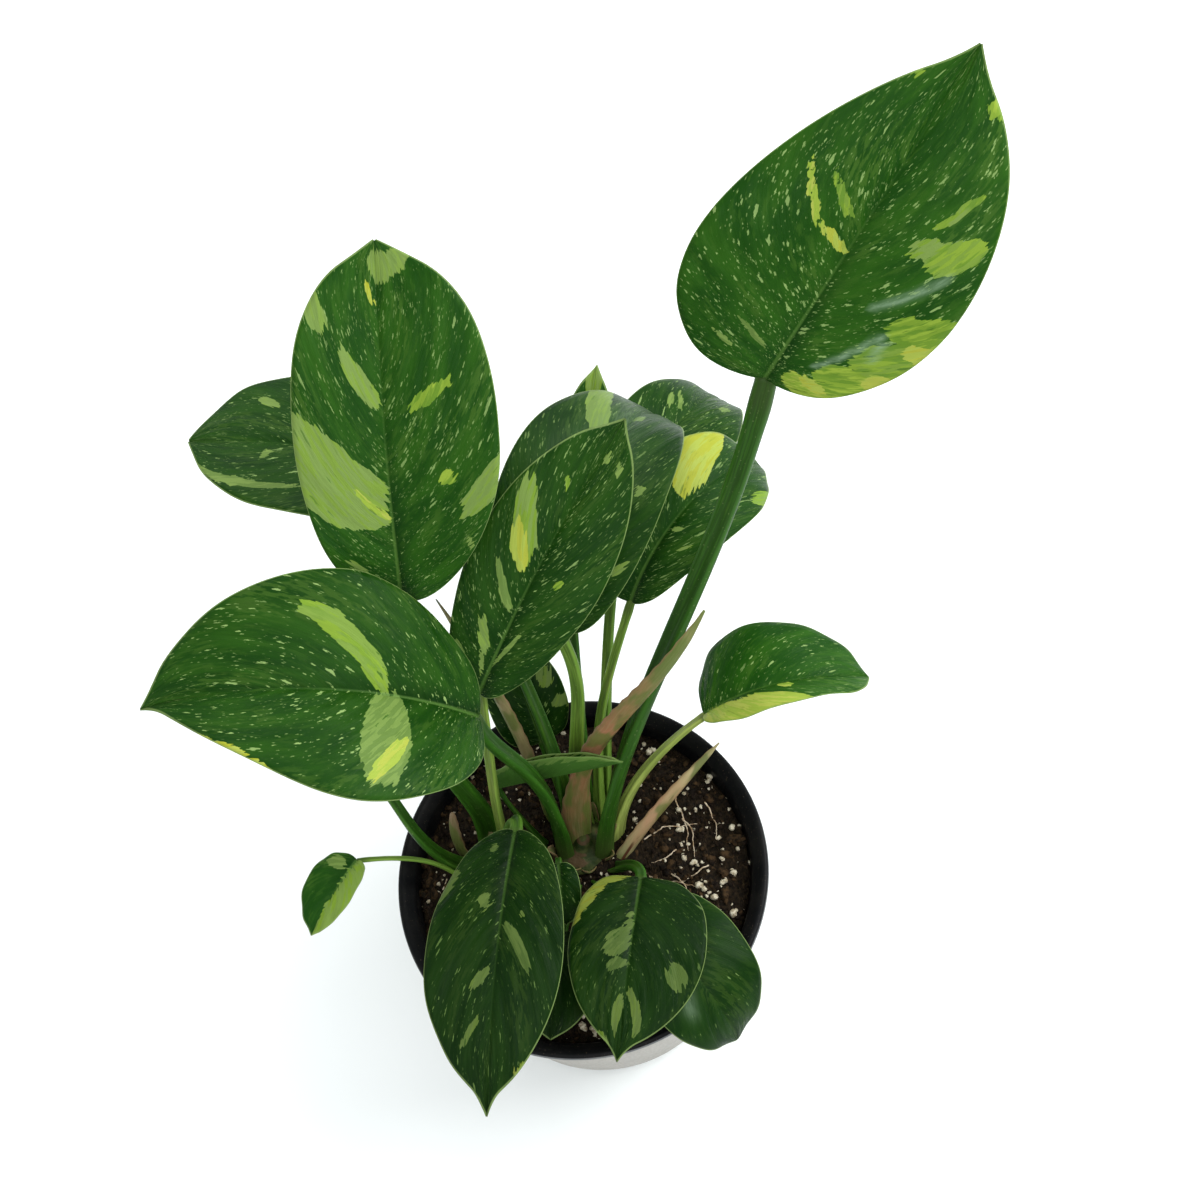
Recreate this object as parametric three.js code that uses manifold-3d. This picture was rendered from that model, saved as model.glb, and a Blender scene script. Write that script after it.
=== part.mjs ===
// A potted variegated Green Congo philodendron: a self-heading aroid with two crowns in one nursery pot.
// Millimetres, +Z up. The origin is the middle of the pot's flat base. +X is right and +Y is back,
// as seen by someone who looks down on the front of the pot.
import * as THREE from 'three';
import { mergeVertices } from 'three/addons/utils/BufferGeometryUtils.js';
import Module from 'manifold-3d';

const wasm = await Module();
wasm.setup();

// Driving dimensions of the pot and what fills it
const POT_HEIGHT = 101;
const POT_RIM_RADIUS = 77.5;
const POT_BASE_RADIUS = 60.5;
const POT_WALL = 1.6;
const POT_FLOOR = 2.4;
const RIM_BAND_HEIGHT = 6;
const RIM_BAND_STEP = 2.6;
const RIM_FLANGE_WIDTH = 7;
const POT_SIDES = 56;
const DRAIN_HOLES = 6;
const DRAIN_RADIUS = 4.5;
const DRAIN_CIRCLE = 42;
const SOIL_TOP = 90;
const SOIL_RELIEF = 2.2;
const SOIL_RINGS = [54, 44, 34, 22];
const STEM_FOOT = 70;
const STEM_SIDES = 20;
const GAP = 0.3;
const SKEW_EASE = 1.25;

// The inside of the pot's wall, just above the floor and just under the rim's flange: radius and height
const INSIDE_FOOT = [POT_BASE_RADIUS - POT_WALL, POT_FLOOR + 2];
const INSIDE_TOP = [POT_RIM_RADIUS - 2 * RIM_BAND_STEP - POT_WALL, POT_HEIGHT - RIM_BAND_HEIGHT - 2];

// Driving dimensions of the plant that every leaf shares
const BLADE_THICKNESS = 0.8;
const MIDRIB_KEEL = 1.6;
const SHEATH_DEPTH = 3.4;
const BRACT_THICKNESS = 1.3;
const BRACT_WRAP = 65;
const BRACT_RINGS = 9;
const BRACT_STEPS = 5;

// How finely large and small leaves are cut into faces
const LARGE = { rows: 10, columns: [0.1, 0.4, 0.7, 1], sides: 8, rings: 9 };
const SMALL = { rows: 8, columns: [0.15, 0.55, 1], sides: 6, rings: 7 };

// Each crown is a short stem, sunk in the mix, that carries the stalks round it
const crowns = {
  main: { name: 'stem_main', centre: [2.5, 12.5], collar: 19, core: 4, top: 107 },
  left: { name: 'stem_left', centre: [-37.5, 12.5], collar: 15, core: 3, top: 102 },
};

// One entry for each leaf. at: where blade and stalk join. heading: compass of the midrib, from +X
// towards +Y. pitch, roll: at the blade's base and at its tip, in degrees. wide: the two half widths.
// foot: compass, distance from the crown's middle and height where the stalk starts. lean: heading and
// pitch there. arrive: heading and pitch where it meets the blade, if not the midrib's own. reach: how
// long the stalk holds its first and its last direction. stalk: width at the foot, halfway and at the
// top. The outline's values come in pairs, for the left and the right half.
const leaves = [
  { name: 'tall', crown: 'main', at: [97.5, 80.5, 285], heading: 22, sweep: 8, pitch: [50, 42],
    roll: [34, 34], length: 112, wide: [44, 41], widest: [0.26, 0.42], lobe: [0.12, 0], full: [0.28, 0.52],
    hold: [0.4, 0.55], shoulder: [0.34, 0.5], drip: 0.05, valley: [20, -4], wave: [1.6, 2, 0.2],
    foot: [-38, 10.5, 86], lean: [76, 75], reach: [70, 89], arrive: [43, 69], stalk: [10, 8.5, 7.5] },
  { name: 'upper_left', crown: 'left', at: [-38.3, 56.2, 235.2], heading: 77, pitch: [56, 36],
    roll: [6, 6], length: 121, wide: [30.5, 40], widest: [0.5, 0.46], lobe: [0, 0], full: [0.68, 0.76],
    shoulder: [0.45, 0.55], valley: [16, 4], wave: [1.2, 2, 0.6],
    foot: [95, 8, 86], lean: [64, 61], reach: [41, 85], arrive: [71, 54], stalk: [11, 9, 6] },
  { name: 'back_left', crown: 'main', at: [-14.8, 110.3, 234.2], heading: 167, pitch: [26, 0],
    roll: [8, 8], length: 96, wide: [37.5, 35.5], full: [0.55, 0.8], hold: [0.55, 0.62], valley: [12, -4],
    wave: [1.0, 2, 0.1],
    foot: [126, 10.5, 86], lean: [67, 62], reach: [57, 59], arrive: [80, 63], stalk: [8, 5, 4.5] },
  { name: 'left', crown: 'main', at: [-20.2, 19.8, 208.5], heading: 175, pitch: [52, -14],
    roll: [-10, -10], length: 117, wide: [42, 40.5], widest: [0.38, 0.44], lobe: [0.08, 0],
    full: [0.08, 0.4], hold: [0.3, 0.55], shoulder: [0.52, 0.66], drip: 0.04, valley: [24, 8],
    wave: [1.4, 2, 0.4],
    foot: [-160, 10.5, 86], lean: [70, 68], reach: [60, 43], arrive: [154, 88], stalk: [10, 8, 6] },
  { name: 'centre', crown: 'left', at: [-20.1, 32.8, 201.4], heading: 41, pitch: [44, 22], roll: [24, 24],
    length: 111, wide: [24.5, 24.5], widest: [0.46, 0.5], shoulder: [0.5, 0.6], valley: [18, -6],
    wave: [1.2, 2, 0.8],
    foot: [20, 8, 86], lean: [98, 80], reach: [36, 38], arrive: [58, 79], stalk: [7, 4, 4] },
  { name: 'arched_middle', crown: 'main', at: [10.5, 54.5, 199], heading: 57, pitch: [66, -62],
    roll: [10, 10], length: 130, wide: [32, 29], full: [0.3, 0.42], shoulder: [0.5, 0.5], valley: [18, -4],
    wave: [1.0, 2, 0.3],
    foot: [70, 10.5, 86], lean: [104, 72], reach: [60, 40], arrive: [126, 60], stalk: [8, 6, 5] },
  { name: 'behind_middle', crown: 'main', small: true, at: [18.4, 94, 159], heading: 66, pitch: [52, 30],
    roll: [0, 0], length: 94, wide: [15, 15], valley: [14, -4], wave: [1.0, 2, 0.3],
    foot: [76, 15, 86], lean: [76, 66], reach: [48, 8], stalk: [7, 5, 4] },
  { name: 'arched_back', crown: 'main', at: [38.5, 99.5, 165], heading: 50, pitch: [62, -60],
    roll: [10, 10], length: 118, wide: [24, 28], valley: [14, -4], wave: [1.0, 2, 0.7],
    foot: [44, 15, 86], lean: [72, 60], reach: [45, 30], stalk: [7, 5, 4.5] },
  { name: 'arched_right', crown: 'main', at: [41.5, 70, 183.5], heading: 38, pitch: [62, -56],
    roll: [20, 20], length: 96, wide: [24, 22], widest: [0.42, 0.6], shoulder: [0.3, 0.6],
    valley: [14, -4], wave: [1.0, 2, 0.5],
    foot: [26, 10.5, 86], lean: [86, 62], reach: [58, 46], stalk: [7, 4, 3.5] },
  { name: 'small_right', crown: 'main', small: true, at: [61.5, 36.5, 142], heading: 359, pitch: [44, -34],
    roll: [-14, -14], length: 72, wide: [29.5, 14.5], lobe: [0.03, 0], full: [0.5, 0.9],
    shoulder: [0.3, 0.45], valley: [24, 0], wave: [1.0, 2, 0.2],
    foot: [4, 15, 86], lean: [86, 40], reach: [24, 16], stalk: [9, 5, 3.5] },
  { name: 'front_left', crown: 'left', at: [-20.5, 3.5, 142], heading: 254.5, pitch: [14, -34],
    roll: [0, 0], length: 102, wide: [25, 27], widest: [0.48, 0.5], full: [0.25, 0.32],
    shoulder: [0.5, 0.5], drip: 0.06, valley: [10, -10], wave: [0.8, 2, 0.4],
    foot: [-50, 8, 86], lean: [70, 80], reach: [40, 16], stalk: [8, 6, 5] },
  { name: 'front_middle', crown: 'main', at: [23.7, -17.8, 121.5], heading: 252, pitch: [12, -12],
    roll: [0, 0], length: 67, wide: [29, 24], full: [0.34, 0.34], drip: 0.07, valley: [8, -8],
    wave: [0.8, 2, 0.1],
    foot: [-50, 15, 86], lean: [310, 70], reach: [18, 10], stalk: [7, 5, 4.5] },
  { name: 'front_right', crown: 'main', at: [21.5, -31, 115], heading: 299, pitch: [34, -78], roll: [0, 0],
    length: 69, wide: [24, 22], full: [0.6, 0.6], valley: [6, -8], wave: [0.8, 2, 0.6],
    foot: [-82, 15, 86], lean: [290, 62], reach: [16, 10], stalk: [6, 5, 4] },
  { name: 'inner', crown: 'main', small: true, at: [-6.5, 51.5, 118], heading: 102, pitch: [60, 30],
    roll: [0, 0], length: 50, wide: [16, 17], valley: [12, -4], wave: [0.6, 2, 0.4],
    foot: [105, 15, 86], lean: [95, 50], reach: [10, 10], stalk: [6, 4, 3] },
  { name: 'under_left', crown: 'left', small: true, at: [-71.5, 33.5, 150], heading: 134, pitch: [40, -10],
    roll: [0, 0], length: 64, wide: [15, 13], valley: [12, -4], wave: [0.8, 2, 0.4],
    foot: [180, 8, 86], lean: [174, 55], reach: [38, 19], stalk: [8, 5, 4] },
  { name: 'tiny_left', crown: 'left', small: true, at: [-86.5, 11, 128], heading: 229, pitch: [10, -30],
    roll: [0, 0], length: 34, wide: [8, 13], valley: [10, -4], wave: [0.4, 2, 0.4],
    foot: [232, 12.5, 86], lean: [140, 64], reach: [22, 30], arrive: [178, 8], stalk: [4, 2.4, 2] },
  { name: 'front_low', crown: 'main', small: true, at: [-11.5, -26.5, 102.5], heading: 254,
    pitch: [14, -20], roll: [0, 0], length: 42, wide: [17, 17], valley: [10, -4], wave: [0.6, 2, 0.4],
    foot: [-112, 15, 86], lean: [250, 50], reach: [10, 8], stalk: [6, 4, 3.5] },
  { name: 'tiny_front', crown: 'main', small: true, at: [-7.7, -3.9, 118.5], heading: 265,
    pitch: [-10, -60], roll: [0, 0], length: 26, wide: [8, 8], valley: [10, -4], wave: [0.4, 1, 0.4],
    foot: [-135, 15, 86], lean: [200, 84], reach: [12, 6], stalk: [5, 3, 2.5] },
  { name: 'rolled', crown: 'main', small: true, at: [-28, 34, 122], heading: 345, pitch: [24, 28],
    roll: [-30, -30], length: 61, wide: [9, 12], valley: [40, 100], wave: [0, 1, 0],
    foot: [170, 15, 86], lean: [140, 66], reach: [12, 10], arrive: [110, 60], stalk: [5, 3, 2.6] },
];

// The dry and fading sheaths of older leaves. path: the four points that steer the sheath's curve.
// back: where its rounded back looks. width: across it at the foot, halfway and near the tip.
const bracts = [
  { name: 'broad', path: [[2.5, 2.1, 86], [-3.5, 53.5, 120], [32.5, 12.5, 182], [66.5, 44.5, 208]],
    back: [0.2, -1, 0.3], width: [10, 12, 3] },
  { name: 'slender', path: [[16.5, 3.5, 88], [24.5, 9.5, 99], [48.5, 23.5, 109], [67, 35.5, 115]],
    back: [0.3, -1, 0.6], width: [5, 6, 1.6] },
  { name: 'upright', path: [[-9.5, 23.5, 86], [-11.5, 45.5, 115], [-15.5, 55.5, 148], [-30.5, 73.5, 207]],
    back: [-0.4, -1, 0.3], width: [6, 6, 1.6] },
  { name: 'short', path: [[-48.5, 18.5, 86], [-51.5, 20.5, 100], [-49.5, 24.5, 110], [-47.5, 26.5, 120]],
    back: [-0.4, -1, 0.3], width: [5, 5, 2] },
];

// widest: how far along the widest place lies. lobe: how far the base reaches back. shoulder: how
// narrow the base is. hold, full: how long and how full the blade stays towards its tip. drip: the
// length of the fine tip. All are shares of the blade's length or half width. valley: how far the halves
// rise at the midrib and at the margin, in degrees. wave: height, count and start of the margin's waves.
const LEAF_DEFAULTS = { widest: [0.42, 0.42], lobe: [0.03, 0.03], full: [0.42, 0.42], hold: [0.55, 0.55],
  shoulder: [0.3, 0.3], sweep: 0, drip: 0.025 };

const degrees = THREE.MathUtils.degToRad;
const mix = THREE.MathUtils.lerp;
const vector = (list) => new THREE.Vector3(list[0], list[1], list[2]);

function aim(heading, pitch) {
  const flat = Math.cos(degrees(pitch));
  return new THREE.Vector3(flat * Math.cos(degrees(heading)), flat * Math.sin(degrees(heading)),
    Math.sin(degrees(pitch)));
}

function cubic(a, b, c, d, t) {
  const s = 1 - t;
  return s * s * s * a + 3 * s * s * t * b + 3 * s * t * t * c + t * t * t * d;
}

// The midrib's frame at a share x of its length: along it, to its left, and out of its upper face
function midribFrame(leaf, x) {
  const heading = leaf.heading + leaf.sweep * x;
  const along = aim(heading, mix(leaf.pitch[0], leaf.pitch[1], x));
  const level = new THREE.Vector3(-Math.sin(degrees(heading)), Math.cos(degrees(heading)), 0);
  const above = new THREE.Vector3().crossVectors(along, level);
  const roll = degrees(mix(leaf.roll[0], leaf.roll[1], x));
  const left = level.clone().multiplyScalar(Math.cos(roll)).addScaledVector(above, Math.sin(roll));
  const up = above.clone().multiplyScalar(Math.cos(roll)).addScaledVector(level, -Math.sin(roll));
  return { along, left, up };
}

// The midrib's curve: its direction turns evenly from base to tip, summed over short steps
const MIDRIB_STEPS = 12;

function midribPoint(leaf, x) {
  const point = vector(leaf.at);
  if (x < 0) return point.addScaledVector(midribFrame(leaf, 0).along, x * leaf.length);
  for (let i = 0; i < MIDRIB_STEPS; i += 1) {
    const middle = x * (i + 0.5) / MIDRIB_STEPS;
    point.addScaledVector(midribFrame(leaf, middle).along, x * leaf.length / MIDRIB_STEPS);
  }
  return point;
}

// One half of the blade's flat outline, from base (u 0) over the widest place (u 0.5) to the tip (u 1):
// how far along the midrib, as a share of it, and how far out, as a share of the half width
function outline(leaf, u, side) {
  const widest = leaf.widest[side];
  if (u < 0.5) {
    const t = u * 2;
    const shoulder = leaf.shoulder[side];
    return [cubic(0, -leaf.lobe[side], widest * shoulder, widest, t), cubic(0, 1 - 0.93 * shoulder, 1, 1, t)];
  }
  const t = u * 2 - 1;
  const drip = leaf.drip * Math.pow(Math.max(0, t - 0.8) / 0.2, 2);
  return [cubic(widest, mix(widest, 1, leaf.hold[side]), 0.96, 1, t) + drip, cubic(1, 1, leaf.full[side], 0, t)];
}

// A point of the blade's middle surface. Rows of u follow the side veins, which leave the midrib
// and bend towards the tip. v runs from -1 at the right edge over the midrib to 1 at the left edge.
function bladePoint(leaf, u, v) {
  const side = Math.abs(v);
  const half = v > 0 ? 0 : 1;
  const [edgeAlong, edgeShare] = outline(leaf, u, half);
  const edgeOut = edgeShare * leaf.wide[half];
  const rib = u * (0.3 + 0.7 * u) + leaf.drip * Math.pow(u, 20);
  const x = mix(rib, edgeAlong, Math.pow(side, 1.5));
  const frame = midribFrame(leaf, Math.max(x, 0));
  const angle0 = degrees(leaf.valley[0]);
  const turn = degrees(leaf.valley[1]) - angle0;
  const angle = angle0 + turn * side;
  const out = edgeOut * (Math.sin(angle) - Math.sin(angle0)) / turn;
  const lift = edgeOut * (Math.cos(angle0) - Math.cos(angle)) / turn;
  const [height, count, phase] = leaf.wave;
  const wave = height * side * side * Math.sin(Math.PI * u) * Math.sin(2 * Math.PI * (count * u + phase + v / 5));
  const hand = v < 0 ? -1 : 1;
  const point = midribPoint(leaf, x).addScaledVector(frame.left, hand * out)
    .addScaledVector(frame.up, lift + wave);
  const normal = frame.up.clone().multiplyScalar(Math.cos(angle))
    .addScaledVector(frame.left, -hand * Math.sin(angle));
  return { point, normal };
}

// Turns a list of points and of index triples into a geometry with its faces pointing out
function closedSolid(points, triangles) {
  const geometry = new THREE.BufferGeometry();
  const flat = points.flatMap((point) => [point.x, point.y, point.z]);
  geometry.setAttribute('position', new THREE.Float32BufferAttribute(flat, 3));
  let volume = 0;
  for (const [a, b, c] of triangles) {
    volume += points[a].dot(new THREE.Vector3().crossVectors(points[b], points[c]));
  }
  geometry.setIndex(triangles.flatMap(([a, b, c]) => (volume > 0 ? [a, b, c] : [a, c, b])));
  return geometry;
}

function bladeGeometry(leaf) {
  const { rows: rowCount, columns } = leaf.small ? SMALL : LARGE;
  const across = [...columns.map((v) => -v).reverse(), 0, ...columns];
  const last = across.length - 1;
  const points = [];
  const half = BLADE_THICKNESS / 2;
  const addPair = (u, v) => {
    const { point, normal } = bladePoint(leaf, u, v);
    const keel = v === 0 ? MIDRIB_KEEL * (1 - u) : 0;
    points.push(point.clone().addScaledVector(normal, half));
    points.push(point.clone().addScaledVector(normal, -half - keel));
    return points.length - 2;
  };
  const base = addPair(0, 0);
  const rows = [];
  for (let i = 1; i < rowCount; i += 1) {
    rows.push(across.map((v) => addPair(i / rowCount, v)));
  }
  const tip = addPair(1, 0);
  const triangles = [];
  const addBoth = (a, b, c) => {
    triangles.push([a, b, c], [a + 1, c + 1, b + 1]);
  };
  const addRim = (a, b) => triangles.push([a, a + 1, b], [b, a + 1, b + 1]);
  for (let j = 0; j < last; j += 1) {
    addBoth(base, rows[0][j + 1], rows[0][j]);
    addBoth(tip, rows.at(-1)[j], rows.at(-1)[j + 1]);
    for (let i = 0; i + 1 < rows.length; i += 1) {
      const [a, b, c, d] = [rows[i][j], rows[i][j + 1], rows[i + 1][j + 1], rows[i + 1][j]];
      addBoth(a, b, c);
      addBoth(a, c, d);
    }
  }
  const right = [base, ...rows.map((row) => row[0]), tip];
  const left = [base, ...rows.map((row) => row[last]), tip];
  for (let i = 0; i + 1 < right.length; i += 1) {
    addRim(right[i + 1], right[i]);
    addRim(left[i], left[i + 1]);
  }
  return closedSolid(points, triangles);
}

function crownPoint(crown, [compass, distance, height]) {
  const [cx, cy] = crowns[crown].centre;
  return new THREE.Vector3(cx, cy, height).addScaledVector(aim(compass, 0), distance);
}

// A stalk's centre line and its frame at a share s of the way from the crown to the blade
function stalkPoint(leaf, s) {
  const foot = crownPoint(leaf.crown, leaf.foot);
  const frame = midribFrame(leaf, 0);
  const top = vector(leaf.at).addScaledVector(frame.up, -leaf.stalk[2] * 0.3)
    .addScaledVector(frame.along, leaf.stalk[2] * 0.15);
  const first = foot.clone().addScaledVector(aim(...leaf.lean), leaf.reach[0]);
  const last = leaf.arrive ? aim(...leaf.arrive) : frame.along;
  const second = top.clone().addScaledVector(last, -leaf.reach[1]);
  const curve = new THREE.CubicBezierCurve3(foot, first, second, top);
  const tangent = curve.getTangent(s);
  const inward = aim(leaf.foot[0], 0).negate();
  const face = inward.lerp(frame.up, Math.min(1, s * 1.2));
  face.addScaledVector(tangent, -face.dot(tangent)).normalize();
  return { point: curve.getPoint(s), tangent, face, side: new THREE.Vector3().crossVectors(face, tangent) };
}

// The stalk clasps its crown as a broad flat sheath and grows round towards the blade
function stalkSection(leaf, s) {
  const [foot, middle, top] = leaf.stalk;
  const sheath = Math.pow(1 - s, 3);
  const width = mix(mix(middle, top, s), foot, sheath);
  const depth = mix(0.85 * mix(middle, top, s), SHEATH_DEPTH, Math.min(1, sheath * 1.3));
  return [width / 2, depth / 2];
}

// Grown by some clearance on every side, the stalk makes the tool that cuts its own socket. The ease
// keeps the clearance where a facet stands askew.
function stalkGeometry(leaf, grow) {
  const { sides, rings } = leaf.small ? SMALL : LARGE;
  const points = [];
  for (let i = 0; i <= rings; i += 1) {
    const { point, tangent, face, side } = stalkPoint(leaf, i / rings);
    const [halfWidth, halfDepth] = stalkSection(leaf, i / rings);
    const shift = i === rings ? grow : i === 0 ? -grow : 0;
    const eased = grow * SKEW_EASE;
    for (let k = 0; k < sides; k += 1) {
      const turn = 2 * Math.PI * k / sides;
      points.push(point.clone().addScaledVector(side, (halfWidth + eased) * Math.cos(turn))
        .addScaledVector(face, (halfDepth + eased) * Math.sin(turn)).addScaledVector(tangent, shift));
    }
  }
  return loftSolid(points, sides);
}

// A bract is a pointed channel: an outer arc and a smaller inner arc that share their two edges
function bractGeometry(bract, grow) {
  const curve = new THREE.CubicBezierCurve3(...bract.path.map(vector));
  const [foot, middle, tip] = bract.width;
  const points = [];
  for (let i = 0; i <= BRACT_RINGS; i += 1) {
    const s = i / BRACT_RINGS;
    const tangent = curve.getTangent(s);
    const back = vector(bract.back).addScaledVector(tangent, -vector(bract.back).dot(tangent)).normalize();
    const side = new THREE.Vector3().crossVectors(tangent, back);
    const width = s < 0.5 ? mix(foot, middle, s * 2) : mix(middle, tip, Math.pow(s * 2 - 1, 1.6));
    const radius = width / 2 / Math.sin(degrees(BRACT_WRAP));
    const inset = radius * 0.7;
    const thick = Math.min(BRACT_THICKNESS, inset);
    const wrap = degrees(BRACT_WRAP) + SKEW_EASE * grow / radius;
    const shift = i === BRACT_RINGS ? grow : i === 0 ? -grow : 0;
    const addArc = (reach, hand) => {
      for (let k = 0; k < BRACT_STEPS; k += 1) {
        const turn = wrap * hand * (2 * k / (BRACT_STEPS - 1) - 1);
        points.push(curve.getPoint(s).addScaledVector(back, reach * Math.cos(turn) - inset)
          .addScaledVector(side, reach * Math.sin(turn)).addScaledVector(tangent, shift));
      }
    };
    addArc(radius + grow, 1);
    addArc(Math.max(radius - thick - grow, 0.1), -1);
  }
  return loftSolid(points, BRACT_STEPS * 2);
}

// Closes rings of points, each of the same even number, with flat ends. The ends are zipped across,
// so that they also fit a channel.
function loftSolid(points, sides) {
  const rings = points.length / sides - 1;
  const triangles = [];
  for (let i = 0; i < rings; i += 1) {
    for (let k = 0; k < sides; k += 1) {
      const a = i * sides + k;
      const b = i * sides + (k + 1) % sides;
      triangles.push([a, b, b + sides], [a, b + sides, a + sides]);
    }
  }
  const end = rings * sides;
  for (let k = 0; k + 1 < sides / 2; k += 1) {
    const [a, b, c, d] = [k, k + 1, sides - 2 - k, sides - 1 - k];
    triangles.push([a, c, b], [end + a, end + b, end + c]);
    triangles.push([a, d, c], [end + a, end + c, end + d]);
  }
  return closedSolid(points, triangles);
}

function toManifold(geometry) {
  const bare = geometry.clone();
  bare.deleteAttribute('normal');
  bare.deleteAttribute('uv');
  const merged = mergeVertices(bare, 1e-4);
  return new wasm.Manifold(new wasm.Mesh({ numProp: 3,
    vertProperties: new Float32Array(merged.attributes.position.array),
    triVerts: new Uint32Array(merged.index.array) }));
}

function fromManifold(solid) {
  const mesh = solid.getMesh();
  const geometry = new THREE.BufferGeometry();
  geometry.setAttribute('position', new THREE.BufferAttribute(new Float32Array(mesh.vertProperties), 3));
  geometry.setIndex(new THREE.BufferAttribute(new Uint32Array(mesh.triVerts), 1));
  return geometry;
}

const finishes = {
  pot: { color: 0x17181a, roughness: 0.5 },
  mix: { color: 0x2b211b, roughness: 0.95 },
  stem: { color: 0x5d6b2c, roughness: 0.6 },
  leaf: { color: 0x2f6a2b, roughness: 0.4 },
  stalk: { color: 0x4f8030, roughness: 0.45 },
  bract: { color: 0xa08a58, roughness: 0.6 },
};

function named(name, geometry, finish) {
  const mesh = new THREE.Mesh(geometry, new THREE.MeshStandardMaterial({ metalness: 0, ...finishes[finish] }));
  mesh.name = name;
  return mesh;
}

function potGeometry() {
  const bandBottom = POT_HEIGHT - RIM_BAND_HEIGHT;
  const wallTop = POT_RIM_RADIUS - RIM_BAND_STEP;
  const profile = [
    [0, 0], [POT_BASE_RADIUS - 1.5, 0], [POT_BASE_RADIUS, 1.5], [wallTop, bandBottom],
    [POT_RIM_RADIUS - 0.8, bandBottom + 0.8], [POT_RIM_RADIUS, POT_HEIGHT - 1], [POT_RIM_RADIUS - 1, POT_HEIGHT],
    [POT_RIM_RADIUS - 2.2, POT_HEIGHT], [POT_RIM_RADIUS - RIM_FLANGE_WIDTH, POT_HEIGHT - 4],
    INSIDE_TOP, INSIDE_FOOT, [INSIDE_FOOT[0] - 2, POT_FLOOR], [0, POT_FLOOR],
  ];
  const lathe = new THREE.LatheGeometry(profile.map(([r, z]) => new THREE.Vector2(r, z)), POT_SIDES);
  lathe.rotateX(Math.PI / 2);
  let pot = toManifold(lathe);
  for (let i = 0; i < DRAIN_HOLES; i += 1) {
    const hole = new THREE.CylinderGeometry(DRAIN_RADIUS, DRAIN_RADIUS, 12, 12);
    hole.rotateX(Math.PI / 2);
    const turn = 2 * Math.PI * (i + 0.5) / DRAIN_HOLES;
    hole.translate(DRAIN_CIRCLE * Math.cos(turn), DRAIN_CIRCLE * Math.sin(turn), 0);
    pot = pot.subtract(toManifold(hole));
  }
  return fromManifold(pot);
}

// A crown's stem: a low knotty collar that the sheaths stand in, with a short core
function stemGeometry(crown, grow) {
  const collar = crown.collar + grow;
  const profile = [
    [0, STEM_FOOT - grow], [collar - 4, STEM_FOOT - grow], [collar, STEM_FOOT + 10], [collar, SOIL_TOP + 1],
    [collar - 2.5, SOIL_TOP + 3],
    [crown.core + 2 + grow, SOIL_TOP + 5], [crown.core + grow, crown.top - 3], [0, crown.top + grow],
  ];
  const stem = new THREE.LatheGeometry(profile.map(([r, z]) => new THREE.Vector2(r, z)), STEM_SIDES);
  stem.rotateX(Math.PI / 2);
  stem.translate(crown.centre[0], crown.centre[1], 0);
  return stem;
}

function soilHeight(x, y) {
  return SOIL_RELIEF * (0.6 * Math.sin(x / 11 + 0.6) * Math.cos(y / 9 - 0.4) + 0.4 * Math.sin(x / 5 + y / 7));
}

// The mix fills the pot up to a slightly uneven top
function mixGeometry() {
  const [footRadius, footHeight] = INSIDE_FOOT;
  const [topRadius, topHeight] = INSIDE_TOP;
  const eased = GAP * SKEW_EASE;
  const foot = footRadius - eased;
  const edge = mix(foot, topRadius - eased, (SOIL_TOP - footHeight) / (topHeight - footHeight));
  const profile = [
    [0, POT_FLOOR + GAP], [foot - 2, POT_FLOOR + GAP], [foot, footHeight + GAP], [edge, SOIL_TOP],
    [edge - 5, SOIL_TOP], ...SOIL_RINGS.map((radius) => [radius, SOIL_TOP]), [0, SOIL_TOP],
  ];
  const soil = new THREE.LatheGeometry(profile.map(([r, z]) => new THREE.Vector2(r, z)), POT_SIDES);
  soil.rotateX(Math.PI / 2);
  const place = soil.attributes.position;
  for (let i = 0; i < place.count; i += 1) {
    const [x, y] = [place.getX(i), place.getY(i)];
    const isTop = place.getZ(i) > SOIL_TOP - 1 && Math.hypot(x, y) < edge - 1;
    if (isTop) place.setZ(i, SOIL_TOP + soilHeight(x, y));
  }
  return soil;
}

// What is left of a solid when its neighbours' sockets are cut, without crumbs
function cut(geometry, tools) {
  let solid = toManifold(geometry);
  for (const tool of tools) solid = solid.subtract(tool);
  return solid.decompose().sort((a, b) => b.volume() - a.volume())[0];
}

// Tools with a clearance cut the sockets: the stems take the feet of the stalks and sheaths, the mix
// takes the stems and what stands beside them, and each blade takes the top of its own stalk
const plant = new THREE.Group();
const allLeaves = leaves.map((entry) => ({ ...LEAF_DEFAULTS, ...entry }));
const stalkTools = allLeaves.map((leaf) => toManifold(stalkGeometry(leaf, GAP)));
const bractTools = bracts.map((bract) => toManifold(bractGeometry(bract, GAP)));
const footTools = [...stalkTools, ...bractTools];
plant.add(named('pot', potGeometry(), 'pot'));
const stemTools = Object.values(crowns).map((crown) => toManifold(stemGeometry(crown, GAP)));
plant.add(named('mix', fromManifold(cut(mixGeometry(), [...stemTools, ...footTools])), 'mix'));
for (const crown of Object.values(crowns)) {
  plant.add(named(crown.name, fromManifold(cut(stemGeometry(crown, 0), footTools)), 'stem'));
}
allLeaves.forEach((leaf, index) => {
  const blade = cut(bladeGeometry(leaf), [stalkTools[index]]);
  plant.add(named(`leaf_${leaf.name}`, fromManifold(blade), 'leaf'));
  plant.add(named(`stalk_${leaf.name}`, stalkGeometry(leaf, 0), 'stalk'));
});
for (const bract of bracts) {
  plant.add(named(`sheath_${bract.name}`, bractGeometry(bract, 0), 'bract'));
}

export default plant;
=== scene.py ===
# A potted variegated philodendron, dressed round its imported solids.
# Metres, +Z up; the origin is the middle of the pot's base. Leaves, stalks and sheaths keep a grower's
# millimetres and degrees until their mesh is made.
import math
import bmesh
import bpy
import numpy as np
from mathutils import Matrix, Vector, noise


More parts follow.
